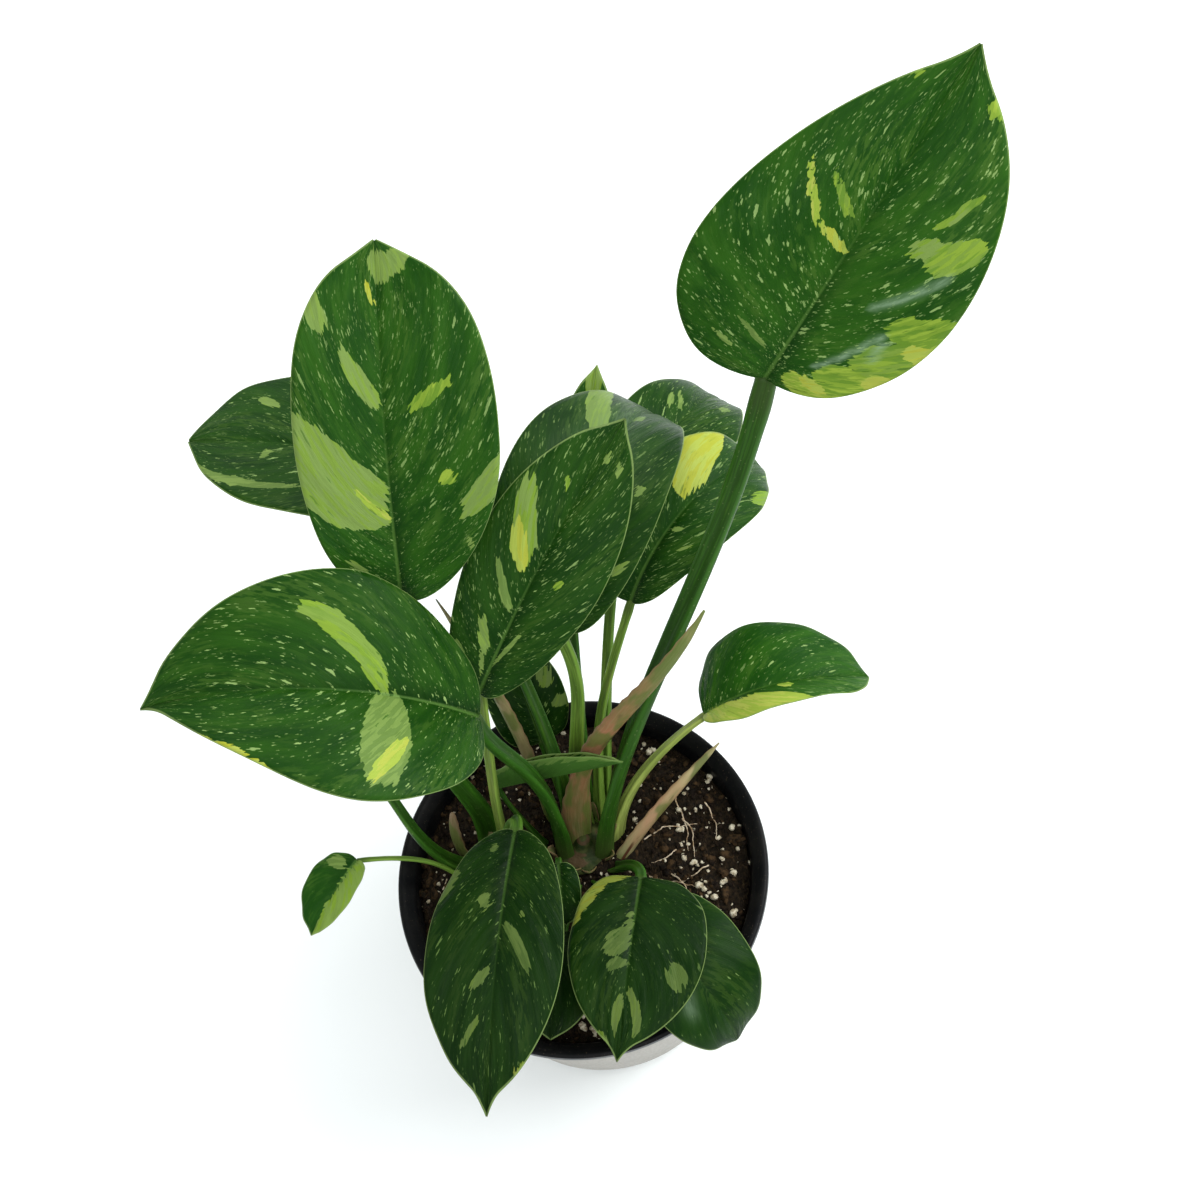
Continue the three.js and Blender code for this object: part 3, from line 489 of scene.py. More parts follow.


# The leaf blades are thin, satin and leathery, each grown on the top of its own stalk: dark green with pale
# flecks drawn out along the side veins, ragged pale and yellow patches between the veins, a sunk pale midrib
# and a thin pale margin.

# Shape values are those of the CAD model. at is where the blade meets its stalk; heading, sweep, pitch and
# roll are the way of its midrib, and length and wide its size in mm. A pair holds for the left and the right
# half, or for base and tip in pitch and roll. widest, lobe, full, hold, shoulder and drip shape the margin,
# valley is how steep each half is at the rib and at the margin, and wave the height, count and phase of its
# waves. The stalk stands at foot, a compass and a distance from the crown's middle. It sets off along lean
# and arrives along arrive, each with its pull in reach, and stalk is its width at foot, middle and top.
# Patches, streaks and painted sheens run from a first (u, v) to a second, where u goes from base to tip and
# v from -1, right, to 1, left. A patch or streak then has its half width in mm and its tone, from 0, soft
# green, to 1, yellow, and a painted sheen, a pale highlight painted into the colour, its spread in mm and
# its strength. tint is how light the green is, and flecks how crowded the pale flecks are.
LEAVES = [
    dict(name="tall", crown="main", at=(97.5, 80.5, 285), heading=22, sweep=8, pitch=(50, 42),
         roll=(34, 34), length=112, wide=(44, 41), widest=(0.26, 0.42), lobe=(0.12, 0),
         full=(0.28, 0.52), hold=(0.4, 0.55), shoulder=(0.34, 0.5), drip=0.05, valley=(20, -4),
         wave=(1.6, 2, 0.2), foot=(-38, 10.5), lean=(76, 75), reach=(70, 89), arrive=(43, 69),
         stalk=(10, 8.5, 7.5), tint=0.9, stalk_tone=0.3,
         patches=[(0.47, -0.6, 0.46, -1.2, 5, 0.55), (0.36, -0.56, 0.36, -1.2, 7, 0.5),
                  (0.25, -0.48, 0.24, -1.2, 7, 0.6), (0.14, -0.3, 0.13, -1.2, 6, 0.7),
                  (0.635, -0.44, 0.64, -0.64, 2.2, 0.4), (0.615, -0.60, 0.625, -0.94, 3.6, 0.5),
                  (0.88, -0.86, 0.87, -1.2, 2.5, 0.6), (0.25, 0.74, 0.2, 0.56, 1.6, 0.2),
                  (0.3, 0.48, 0.22, 0.2, 1.8, 0.15), (0.685, -0.56, 0.705, -0.74, 1.3, 0.4),
                  (0.705, -0.66, 0.725, -0.86, 1.5, 0.5),
                  (0.88, 0.9, 0.88, 1.2, 1.5, 0.6)],
         streaks=[(0.62, 0.28, 0.595, -0.02, 1.3, 0.85), (0.692, 0.76, 0.612, 0.26, 1.2, 0.75),
                  (0.71, 0.56, 0.67, 0.14, 1.2, 0.5), (0.42, -0.82, 0.4, -1.2, 3, 0.85),
                  (0.3, -0.84, 0.29, -1.2, 3.4, 0.8),
                  (0.18, -0.45, 0.17, -0.9, 2.4, 0.85)],
         painted_sheen_strokes=[(0.5, -0.42, 0.58, -0.76, 1.1, 0.65), (0.25, -0.42, 0.43, -0.6, 1.2, 0.65),
                (0.355, -0.7, 0.41, -0.66, 1.1, 0.7)]),
    dict(name="upper_left", crown="left", at=(-38.3, 56.2, 235.2), heading=77, pitch=(56, 36),
         roll=(6, 6), length=121, wide=(30.5, 40), widest=(0.5, 0.46), lobe=(0, 0), full=(0.68, 0.76),
         shoulder=(0.45, 0.55), valley=(16, 4), wave=(1.2, 2, 0.6), foot=(95, 8), lean=(64, 61),
         reach=(41, 85), arrive=(71, 54), stalk=(11, 9, 6), tint=0.8, stalk_tone=0.3,
         patches=[(0.46, 1.2, 0.47, 0.02, 12.3, 0.35), (0.45, 0.3, 0.43, 0.02, 4, 0.35),
                  (0.76, 0.56, 0.72, 0.02, 3.4, 0.35), (0.775, 1.2, 0.76, 0.76, 3.6, 0.3),
                  (0.46, -1.2, 0.4, -0.68, 6, 0.33), (0.97, 0.4, 0.94, -1.1, 3.0, 0.3),
                  (0.25, 0.74, 0.21, 0.48, 3.4, 0.3), (0.3, -0.83, 0.27, -0.97, 1.4, 0.3)],
         streaks=[(0.475, 0.36, 0.43, 0.02, 2.2, 0.75), (0.685, -0.28, 0.675, -0.68, 1.9, 0.6),
                  (0.5, -0.46, 0.49, -0.61, 2.2, 0.6), (0.925, 0.46, 0.905, 0, 0.9, 0.95)]),
    dict(name="back_left", crown="main", at=(-14.8, 110.3, 234.2), heading=167, pitch=(26, 0),
         roll=(8, 8), length=96, wide=(37.5, 35.5), full=(0.55, 0.8), hold=(0.55, 0.62),
         valley=(12, -4), wave=(1, 2, 0.1), foot=(126, 10.5), lean=(67, 62), reach=(57, 59),
         arrive=(80, 63), stalk=(8, 5, 4.5), tint=0.5,
         patches=[(0.61, 0.66, 0.93, 1.08, 4, 0.2), (0.35, -0.3, 0.36, -0.6, 3, 0.3),
                  (0.79, 0.2, 0.78, 0.42, 1.3, 0.25), (0.75, -0.58, 0.76, -0.78, 1.5, 0.3)]),
    dict(name="left", flecks=0.6, crown="main", at=(-20.2, 19.8, 208.5), heading=175, pitch=(52, -14),
         roll=(-10, -10), length=117, wide=(42, 40.5), widest=(0.38, 0.44), lobe=(0.08, 0),
         full=(0.08, 0.4), hold=(0.3, 0.55), shoulder=(0.52, 0.66), drip=0.04, valley=(24, 8),
         wave=(1.4, 2, 0.4), foot=(-160, 10.5), lean=(70, 68), reach=(60, 43), arrive=(154, 88),
         stalk=(10, 8, 6), tint=0.6, stalk_tone=0.25,
         patches=[(0.47, 0.86, 0.485, 0.0, 8.0, 0.17), (0.5, -0.02, 0.6, -0.76, 4.2, 0.46),
                  (0.74, 0.97, 0.74, 1.2, 11, 0.9)],
         streaks=[(0.5, 0.84, 0.43, 0.44, 3.2, 0.8)]),
    dict(name="centre", crown="left", at=(-20.1, 32.8, 201.4), heading=41, pitch=(44, 22),
         roll=(24, 24), length=111, wide=(24.5, 24.5), widest=(0.46, 0.5), shoulder=(0.5, 0.6),
         valley=(18, -6), wave=(1.2, 2, 0.8), foot=(20, 8), lean=(98, 80), reach=(36, 38),
         arrive=(58, 79), stalk=(7, 4, 4), tint=0.5, stalk_tone=0.75,
         patches=[(0.67, 0.9, 0.64, 0.15, 5, 0.4), (0.54, 0.56, 0.49, 0.1, 2.2, 0.2),
                  (0.38, 0.46, 0.3, 0.16, 5, 0.3), (0.28, 0.3, 0.18, 0.14, 5, 0.3),
                  (0.41, -0.25, 0.25, -0.03, 4, 0.25), (0.24, 0.9, 0.22, 0.62, 4.5, 0.2),
                  (0.915, -0.28, 0.905, -0.52, 1.7, 0.3), (0.85, -0.73, 0.84, -0.82, 3, 0.25)],
         streaks=[(0.625, 0.66, 0.61, 0.18, 3.4, 0.85), (0.58, -0.35, 0.57, -0.46, 1.7, 0.6),
                  (0.81, 0.34, 0.81, 0.53, 0.9, 0.5)]),
    dict(name="arched_middle", flecks=0.9, crown="main", at=(10.5, 54.5, 199), heading=57,
         pitch=(66, -62), roll=(10, 10), length=130, wide=(32, 29), full=(0.3, 0.42), shoulder=(0.5, 0.5),
         valley=(18, -4), wave=(1, 2, 0.3), foot=(70, 10.5), lean=(104, 72), reach=(60, 40),
         arrive=(126, 60), stalk=(8, 6, 5), tint=0.45, stalk_tone=0.6,
         painted_sheen_strokes=[(0.5, 0.1, 0.8, 0.1, 14, 0.16)],
         # Its second patch is a painted sheen, a pale highlight near the tip on the right half.
         patches=[(0.77, 1.2, 0.73, 0.22, 5.5, 0.3), (0.86, 0, 0.85, -0.32, 2.2, 0.15),
                  (0.36, -0.7, 0.38, -0.88, 2.6, 0.3), (0.57, -0.6, 0.56, -0.72, 1.7, 0.3)]),
    dict(name="behind_middle", flecks=0.3, crown="main", small=True, at=(18.4, 94, 159), heading=66,
         pitch=(52, 30), roll=(0, 0), length=94, wide=(15, 15), valley=(14, -4), wave=(1, 2, 0.3),
         foot=(76, 15), lean=(76, 66), reach=(48, 8), stalk=(7, 5, 4), tint=0.9,
         patches=[(0.95, 1.2, 0.95, -1.2, 6, 0.4)]),
    dict(name="arched_back", crown="main", at=(38.5, 99.5, 165), heading=50, pitch=(62, -60),
         roll=(10, 10), length=118, wide=(24, 28), valley=(14, -4), wave=(1, 2, 0.7), foot=(44, 15),
         lean=(72, 60), reach=(45, 30), stalk=(7, 5, 4.5), tint=0.5, stalk_tone=0.55,
         # Its last patch is a painted sheen, a pale highlight near the tip on the right half.
         patches=[(0.765, 0.62, 0.765, 0.18, 1.4, 0.2), (0.73, 0.66, 0.725, 0.38, 1.6, 0.2),
                  (0.8, -0.6, 0.78, -0.78, 2.2, 0.15)]),
    dict(name="arched_right", crown="main", at=(41.5, 70, 183.5), heading=38, pitch=(62, -56),
         roll=(20, 20), length=96, wide=(24, 22), widest=(0.42, 0.6), shoulder=(0.3, 0.6),
         valley=(14, -4), wave=(1, 2, 0.5), foot=(26, 10.5), lean=(86, 62), reach=(58, 46),
         stalk=(7, 4, 3.5), tint=0.6, stalk_tone=0.65,
         patches=[(0.7, 1.2, 0.69, 0.1, 9, 0.88), (0.68, -0.82, 0.66, -1.2, 5.5, 0.45),
                  (0.53, -0.04, 0.525, -0.24, 1.1, 0.35), (0.42, -0.38, 0.42, -0.57, 1.1, 0.35)]),
    dict(name="small_right", flecks=0.8, crown="main", small=True, at=(61.5, 36.5, 142), heading=359,
         pitch=(44, -34), roll=(-14, -14), length=72, wide=(29.5, 14.5), lobe=(0.03, 0),
         full=(0.5, 0.9), shoulder=(0.3, 0.45), valley=(24, 0), wave=(1, 2, 0.2), foot=(4, 15),
         lean=(86, 40), reach=(24, 16), stalk=(9, 5, 3.5), tint=1.15, stalk_tone=0.95,
         patches=[(0.18, -0.02, 0.34, -1.2, 16, 0.77), (0.46, -0.25, 0.52, -1.2, 9, 0.77)],
         streaks=[(0.655, -0.04, 0.65, -0.34, 1.7, 0.7)]),
    dict(name="front_left", flecks=0.85, crown="left", at=(-20.5, 3.5, 142), heading=254.5, pitch=(14, -34),
         roll=(0, 0), length=102, wide=(25, 27), widest=(0.48, 0.5), full=(0.25, 0.32),
         shoulder=(0.5, 0.5), drip=0.06, valley=(10, -10), wave=(0.8, 2, 0.4), foot=(-50, 8),
         lean=(70, 80), reach=(40, 16), stalk=(8, 6, 5), tint=0.2, stalk_tone=0.45,
         patches=[(0.61, 0.58, 0.55, 0.05, 2.6, 0.15), (0.69, -0.08, 0.695, -0.44, 1.9, 0.3),
                  (0.79, -0.33, 0.795, -0.77, 1.2, 0.3), (0.46, -0.16, 0.44, -0.34, 2.8, 0.25),
                  (0.33, -0.84, 0.33, -1.2, 5.5, 0.25), (0.2, -0.34, 0.19, -0.52, 2.7, 0.2),
                  (0.49, 0.29, 0.48, 0.37, 1.3, 0.3), (0.8, 0.94, 0.78, 1.2, 3, 0.75)]),
    dict(name="front_middle", crown="main", at=(23.7, -17.8, 121.5), heading=252, pitch=(12, -12),
         roll=(0, 0), length=67, wide=(29, 24), full=(0.34, 0.34), drip=0.07, valley=(8, -8),
         wave=(0.8, 2, 0.1), foot=(-50, 15), lean=(310, 70), reach=(18, 10), stalk=(7, 5, 4.5),
         tint=0.2,
         patches=[(0.56, 0, 0.58, -0.42, 4.2, 0.2), (0.45, 0, 0.47, -0.14, 5, 0.25),
                  (0.68, 0, 0.67, -0.42, 1.8, 0.12), (0.89, 0.82, 0.79, 0.05, 2.2, 0.3),
                  (0.9, -0.52, 0.84, 0, 3.4, 0.3), (0.635, 0.88, 0.625, 0.58, 3, 0.2),
                  (0.9, -0.88, 0.88, -1.2, 3, 0.4)],
         streaks=[(0.4, -0.88, 0.41, -1.2, 4, 0.85), (0.28, -0.76, 0.28, -1.2, 8, 0.85),
                  (0.13, -0.64, 0.12, -1.2, 6, 0.85)]),
    dict(name="front_right", flecks=0.3, crown="main", at=(21.5, -31, 115), heading=299, pitch=(34, -78),
         roll=(0, 0), length=69, wide=(24, 22), full=(0.6, 0.6), valley=(6, -8), wave=(0.8, 2, 0.6),
         foot=(-82, 15), lean=(290, 62), reach=(16, 10), stalk=(6, 5, 4), tint=0.3,
         painted_sheen_strokes=[(0.62, -0.3, 0.68, -0.5, 3, 0.25)]),
    dict(name="inner", crown="main", small=True, at=(-6.5, 51.5, 118), heading=102, pitch=(60, 30),
         roll=(0, 0), length=50, wide=(16, 17), valley=(12, -4), wave=(0.6, 2, 0.4), foot=(105, 15),
         lean=(95, 50), reach=(10, 10), stalk=(6, 4, 3), tint=0.3,
         patches=[(0.62, -0.5, 0.6, -0.9, 3, 0.35), (0.45, -0.6, 0.42, -1.2, 2, 0.3)]),
    dict(name="under_left", crown="left", small=True, at=(-71.5, 33.5, 150), heading=134,
         pitch=(40, -10), roll=(0, 0), length=64, wide=(15, 13), valley=(12, -4), wave=(0.8, 2, 0.4),
         foot=(180, 8), lean=(174, 55), reach=(38, 19), stalk=(8, 5, 4), tint=0.4,
         patches=[(0.5, 0.3, 0.48, 0.8, 3, 0.3)]),
    dict(name="tiny_left", crown="left", small=True, at=(-86.5, 11, 128), heading=229, pitch=(10, -30),
         roll=(0, 0), length=34, wide=(8, 13), valley=(10, -4), wave=(0.4, 2, 0.4), foot=(232, 12.5),
         lean=(140, 64), reach=(22, 30), arrive=(178, 8), stalk=(4, 2.4, 2), tint=0.95, stalk_tone=0.6,
         flecks=0.1, patches=[(0.55, 0, 0.5, 1.2, 30, 0.43), (0.3, -0.2, 0.28, -0.9, 3.2, 0.2)]),
    dict(name="front_low", crown="main", small=True, at=(-11.5, -26.5, 102.5), heading=254,
         pitch=(14, -20), roll=(0, 0), length=42, wide=(17, 17), valley=(10, -4), wave=(0.6, 2, 0.4),
         foot=(-112, 15), lean=(250, 50), reach=(10, 8), stalk=(6, 4, 3.5), tint=0.1),
    dict(name="tiny_front", crown="main", small=True, at=(-7.7, -3.9, 118.5), heading=265,
         pitch=(-10, -60), roll=(0, 0), length=26, wide=(8, 8), valley=(10, -4), wave=(0.4, 1, 0.4),
         foot=(-135, 15), lean=(200, 84), reach=(12, 6), stalk=(5, 3, 2.5), tint=0.3),
    dict(name="rolled", flecks=0.4, crown="main", small=True, at=(-28, 34, 122), heading=345, pitch=(24, 28),
         roll=(-30, -30), length=61, wide=(9, 12), valley=(40, 100), wave=(0, 1, 0), foot=(170, 15),
         lean=(140, 66), reach=(12, 10), arrive=(110, 60), stalk=(5, 3, 2.6), tint=0.9,
         patches=[(0.5, 0.82, 0.5, 1.2, 34, 0.2), (0.5, -0.82, 0.5, -1.2, 34, 0.2)]),
]
PLAIN_LEAF = dict(small=False, sweep=0, widest=(0.42, 0.42), lobe=(0.03, 0.03), full=(0.42, 0.42),
                  hold=(0.55, 0.55), shoulder=(0.3, 0.3), drip=0.025, arrive=None, patches=[], streaks=[],
                  stalk_tone=0.35, flecks=1, painted_sheen_strokes=[])
LEAVES = [PLAIN_LEAF | leaf for leaf in LEAVES]


def mix(start, end, share):
    return start + (end - start) * share


def aim(heading, pitch):
    heading, pitch = np.broadcast_arrays(np.radians(heading), np.radians(pitch))
    return np.stack([np.cos(pitch) * np.cos(heading), np.cos(pitch) * np.sin(heading), np.sin(pitch)], -1)


def cubic(a, b, c, d, t):
    s = 1 - t
    return s ** 3 * a + 3 * s * s * t * b + 3 * s * t * t * c + t ** 3 * d


def midrib_frame(leaf, x):
    """Along the midrib, to its left and out of the upper face, at shares x of its length."""
    heading = leaf["heading"] + leaf["sweep"] * x
    along = aim(heading, mix(*leaf["pitch"], x))
    level = np.stack([-np.sin(np.radians(heading)), np.cos(np.radians(heading)), 0 * x], -1)
    above = np.cross(along, level)
    roll = np.radians(mix(*leaf["roll"], x))[..., None]
    return along, level * np.cos(roll) + above * np.sin(roll), above * np.cos(roll) - level * np.sin(roll)


def midrib_point(leaf, x):
    steps = 12
    inside = np.maximum(x, 0)
    point = np.array(leaf["at"], float) + np.zeros(x.shape + (3,))
    for i in range(steps):
        along = midrib_frame(leaf, inside * (i + 0.5) / steps)[0]
        point = point + along * (inside * leaf["length"] / steps)[..., None]
    return point + midrib_frame(leaf, 0 * x)[0] * (np.minimum(x, 0) * leaf["length"])[..., None]


def outline(leaf, u, v):
    """How far along and how far out the margin lies, as a share of the length and in mm."""
    def own(key):
        return np.where(v > 0, leaf[key][0], leaf[key][1])

    widest, shoulder = own("widest"), own("shoulder")
    t = np.clip(u * 2, 0, 1)
    near = (cubic(0, -own("lobe"), widest * shoulder, widest, t), cubic(0, 1 - 0.93 * shoulder, 1, 1, t))
    t = np.clip(u * 2 - 1, 0, 1)
    drip = leaf["drip"] * (np.maximum(0, t - 0.8) / 0.2) ** 2
    far = (cubic(widest, mix(widest, 1, own("hold")), 0.96, 1, t) + drip, cubic(1, 1, own("full"), 0, t))
    return np.where(u < 0.5, near[0], far[0]), np.where(u < 0.5, near[1], far[1]) * own("wide")


def blade_surface(leaf, u, v):
    """The blade's middle surface and its upper normal, in mm."""
    edge_along, edge_out = outline(leaf, u, v)
    side = np.abs(v)
    rib = u * (0.3 + 0.7 * u) + leaf["drip"] * u ** 20
    x = mix(rib, edge_along, side ** 1.5)
    _, left, up = midrib_frame(leaf, np.maximum(x, 0))
    first = math.radians(leaf["valley"][0])
    turn = math.radians(leaf["valley"][1]) - first
    angle = first + turn * side
    out = edge_out * (np.sin(angle) - math.sin(first)) / turn
    lift = edge_out * (math.cos(first) - np.cos(angle)) / turn
    height, count, phase = leaf["wave"]
    wave = height * side * side * np.sin(np.pi * u) * np.sin(2 * np.pi * (count * u + phase + v / 5))
    hand = np.where(v < 0, -1.0, 1.0)
    point = midrib_point(leaf, x) + left * (hand * out)[..., None] + up * (lift + wave)[..., None]
    normal = up * np.cos(angle)[..., None] - left * (hand * np.sin(angle))[..., None]
    return point, normal


# What a point has where no stroke is near, in mm
FAR_OUTSIDE = -30.0


def stroke_marks(leaf, strokes, u, v):
    """For each point how far it lies inside the nearest stroke, across and along it in mm, and its tone."""
    wide = np.where(v > 0, leaf["wide"][0], leaf["wide"][1])
    across, along = u * leaf["length"], v * wide
    marks = np.zeros(u.shape + (3,)) + (FAR_OUTSIDE, FAR_OUTSIDE, 0.3)
    for u0, v0, u1, v1, half_width, tone in strokes:
        half = leaf["wide"][0] if v0 + v1 > 0 else leaf["wide"][1]
        share = np.clip((along / half - v0) / (v1 - v0), -0.3, 1.3)
        off = 2 * share - 1
        inside = half_width * (1 - 0.45 * off ** 2) - np.abs(across - mix(u0, u1, share) * leaf["length"])
        left = half * abs(v1 - v0) / 2 * (1 - np.abs(off))
        better = np.minimum(inside, left) > np.minimum(marks[..., 0], marks[..., 1])
        marks[better] = np.stack([inside, left, np.full(u.shape, tone)], -1)[better]
    return marks


def painted_sheen_marks(leaf, u, v):
    """How strongly a painted sheen, a pale highlight painted into the colour, lies on each point."""
    wide = np.where(v > 0, leaf["wide"][0], leaf["wide"][1])
    point = np.stack([u * leaf["length"], v * wide], -1)
    marks = np.zeros(u.shape)
    for u0, v0, u1, v1, spread, strength in leaf["painted_sheen_strokes"]:
        half = leaf["wide"][0] if v0 + v1 > 0 else leaf["wide"][1]
        start = np.array([u0 * leaf["length"], v0 * half])
        way = np.array([u1 * leaf["length"], v1 * half]) - start
        share = np.clip((point - start) @ way / (way @ way), 0, 1)
        away = np.linalg.norm(point - start - share[..., None] * way, axis=-1)
        marks = np.maximum(marks, strength * np.exp(-(away / spread) ** 2))
    return marks


# How many side veins lie on each half, how far they slant to the tip for each mm outwards, and how many mm
# of noise lie between one leaf and the next
VEINS = 10
VEIN_SLANT = 0.65
LEAF_APART = 31.7


def blade_mesh(leaf, seed):
    rows, columns = (72, 30) if leaf["small"] else (116, 44)
    run = np.linspace(0, 1, rows)
    u = 0.004 + 0.992 * mix(run, (1 - np.cos(np.pi * run)) / 2, 0.55)
    across = np.linspace(-1, 1, columns + 1)
    across = np.sign(across) * np.abs(across) ** 1.3
    u, v = np.meshgrid(u, np.concatenate([across, across[::-1]]), indexing="ij")
    under = np.concatenate([np.zeros(columns + 1), np.ones(columns + 1)]) + 0 * u
    point, normal = blade_surface(leaf, u, v)
    side = np.abs(v)
    from_rib = side * outline(leaf, u, v)[1]
    # Between the side veins the blade swells, and the midrib is sunk above and stands out below
    wide = side * np.where(v > 0, leaf["wide"][0], leaf["wide"][1])
    vein_run = u - VEIN_SLANT * wide / leaf["length"]
    swell = np.abs(np.sin(np.pi * VEINS * vein_run))
    puff = 0.24 * (np.sqrt(swell) - 0.6) * np.clip(side * 5, 0, 1) * (1 - side ** 6)
    sunk = -0.55 * np.exp(-(from_rib / 1.3) ** 2) * np.sqrt(1 - 0.9 * u)
    flutter = 0.35 * side ** 3 * np.sin(2 * np.pi * (5.3 * u + 0.37 * seed))
    half = 0.36 - 0.16 * side ** 3
    keel = 1.7 * (1 - u) * np.exp(-(from_rib / 1.7) ** 2)
    offset = puff + flutter + np.where(under > 0, -half - keel, half + sunk)
    point = point + normal * offset[..., None]
    place = np.stack([vein_run * leaf["length"], np.where(v > 0, wide, -wide),
                      np.full(u.shape, seed * LEAF_APART)], -1)
    look = np.stack([np.full(u.shape, leaf["tint"]), under, (1 - side) * outline(leaf, u, v)[1]], -1)
    vein = np.stack([from_rib, swell, u], -1)
    # The strength of the painted sheen at each point, and how crowded its flecks are
    painted_sheen = np.stack([painted_sheen_marks(leaf, u, v), np.full(u.shape, leaf["flecks"]), 0 * u], -1)
    marks = {"blade_place": place, "blade_sheen_flecks": painted_sheen, "blade_look": look, "blade_vein": vein,
             "blade_patch": stroke_marks(leaf, leaf["patches"], u, v),
             "blade_streak": stroke_marks(leaf, leaf["streaks"], u, v)}
    return loft("blade " + leaf["name"], point / 1000, marks)


def new_group(name, inputs, outputs):
    """A shader node group with the named sockets; each input is a number or a vector."""
    tree = bpy.data.node_groups.new(name, "ShaderNodeTree")
    for key, kind in inputs.items():
        tree.interface.new_socket(key, in_out="INPUT", socket_type="NodeSocket" + kind)
    for key in outputs:
        tree.interface.new_socket(key, in_out="OUTPUT", socket_type="NodeSocketFloat")
    return tree, add(tree, "NodeGroupInput").outputs, add(tree, "NodeGroupOutput").inputs


def fleck_group():
    """Small dashes drawn out along the veins, each of a strength of its own. Cover is the share of the
    places that have one."""
    tree, given, result = new_group("flecks", {"Place": "Vector", "Size": "Float", "Length": "Float",
                                               "Cover": "Float"}, ["Mask"])
    along = maths(tree, "MULTIPLY", given["Size"], given["Length"])
    size = add(tree, "ShaderNodeCombineXYZ", {0: given["Size"], 1: along, 2: 1.0}).outputs[0]
    place = add(tree, "ShaderNodeVectorMath", {0: given["Place"], 1: size}, operation="DIVIDE").outputs[0]
    drift = add(tree, "ShaderNodeTexNoise", {"Vector": place, "Scale": 3.5, "Detail": 2.0}).outputs["Color"]
    moved = add(tree, "ShaderNodeVectorMath", {0: drift, 1: (0.8, 0.8, 0.0), 2: place},
                operation="MULTIPLY_ADD").outputs[0]
    cells = add(tree, "ShaderNodeTexVoronoi", {"Vector": moved, "Scale": 1.0})
    chance, reach, strength = add(tree, "ShaderNodeSeparateXYZ", {0: cells.outputs["Color"]}).outputs
    chosen = maths(tree, "LESS_THAN", chance, given["Cover"])
    radius = maths(tree, "MULTIPLY_ADD", reach, 0.22, 0.14)
    spot = fade(tree, maths(tree, "SUBTRACT", cells.outputs["Distance"], radius), -0.05, 0.04, 1.0, 0.0)
    strong = maths(tree, "MULTIPLY_ADD", strength, 0.6, 0.4)
    tree.links.new(maths(tree, "MULTIPLY", maths(tree, "MULTIPLY", spot, chosen), strong), result["Mask"])
    return tree


flecks = fleck_group()


def flecked(tree, place, size, length, cover):
    inputs = {"Place": place, "Size": size, "Length": length, "Cover": cover}
    return add(tree, "ShaderNodeGroup", inputs, node_tree=flecks).outputs["Mask"]


def read(tree, name):
    """An attribute's vector and its three parts."""
    vector = add(tree, "ShaderNodeAttribute", attribute_name=name).outputs["Vector"]
    return vector, add(tree, "ShaderNodeSeparateXYZ", {0: vector}).outputs


def ragged(tree, place, name):
    """Where a stroke of colour lies: ragged like a comb at its ends and nearly smooth along the veins."""
    _, (inside, left, tone) = read(tree, name)
    comb = grain(tree, place, 1.4, (1, 6, 1), detail=2, rough=0.5)
    frill = grain(tree, place, 2.4, (1, 3, 1), detail=3, rough=0.6)
    across = maths(tree, "MULTIPLY_ADD", maths(tree, "SUBTRACT", frill, 0.5), 4.0, inside)
    along = maths(tree, "MULTIPLY_ADD", maths(tree, "SUBTRACT", comb, 0.5), 8.0, left)
    return fade(tree, maths(tree, "MINIMUM", across, along), -0.08, 0.08), tone


def ramp(tree, share, stops):
    """The colour at a share along a row of stops, each a position and a colour."""
    node = add(tree, "ShaderNodeValToRGB", {0: share})
    while len(node.color_ramp.elements) < len(stops):
        node.color_ramp.elements.new(0.5)
    for element, (position, colour) in zip(node.color_ramp.elements, stops):
        element.position = position
        element.color = (*colour, 1)
    return node.outputs[0]


# The colours of the patches, from soft green over pale green and lime to yellow
PATCH_TONES = [(0.0, (0.085, 0.165, 0.032)), (0.33, (0.190, 0.295, 0.068)), (0.50, (0.180, 0.305, 0.028)),
               (0.68, (0.27, 0.40, 0.042)), (0.85, (0.38, 0.45, 0.075)), (1.0, (0.37, 0.40, 0.030))]


def scaled(tree, colour, share):
    return add(tree, "ShaderNodeVectorMath", {0: colour, 3: share}, operation="SCALE").outputs[0]


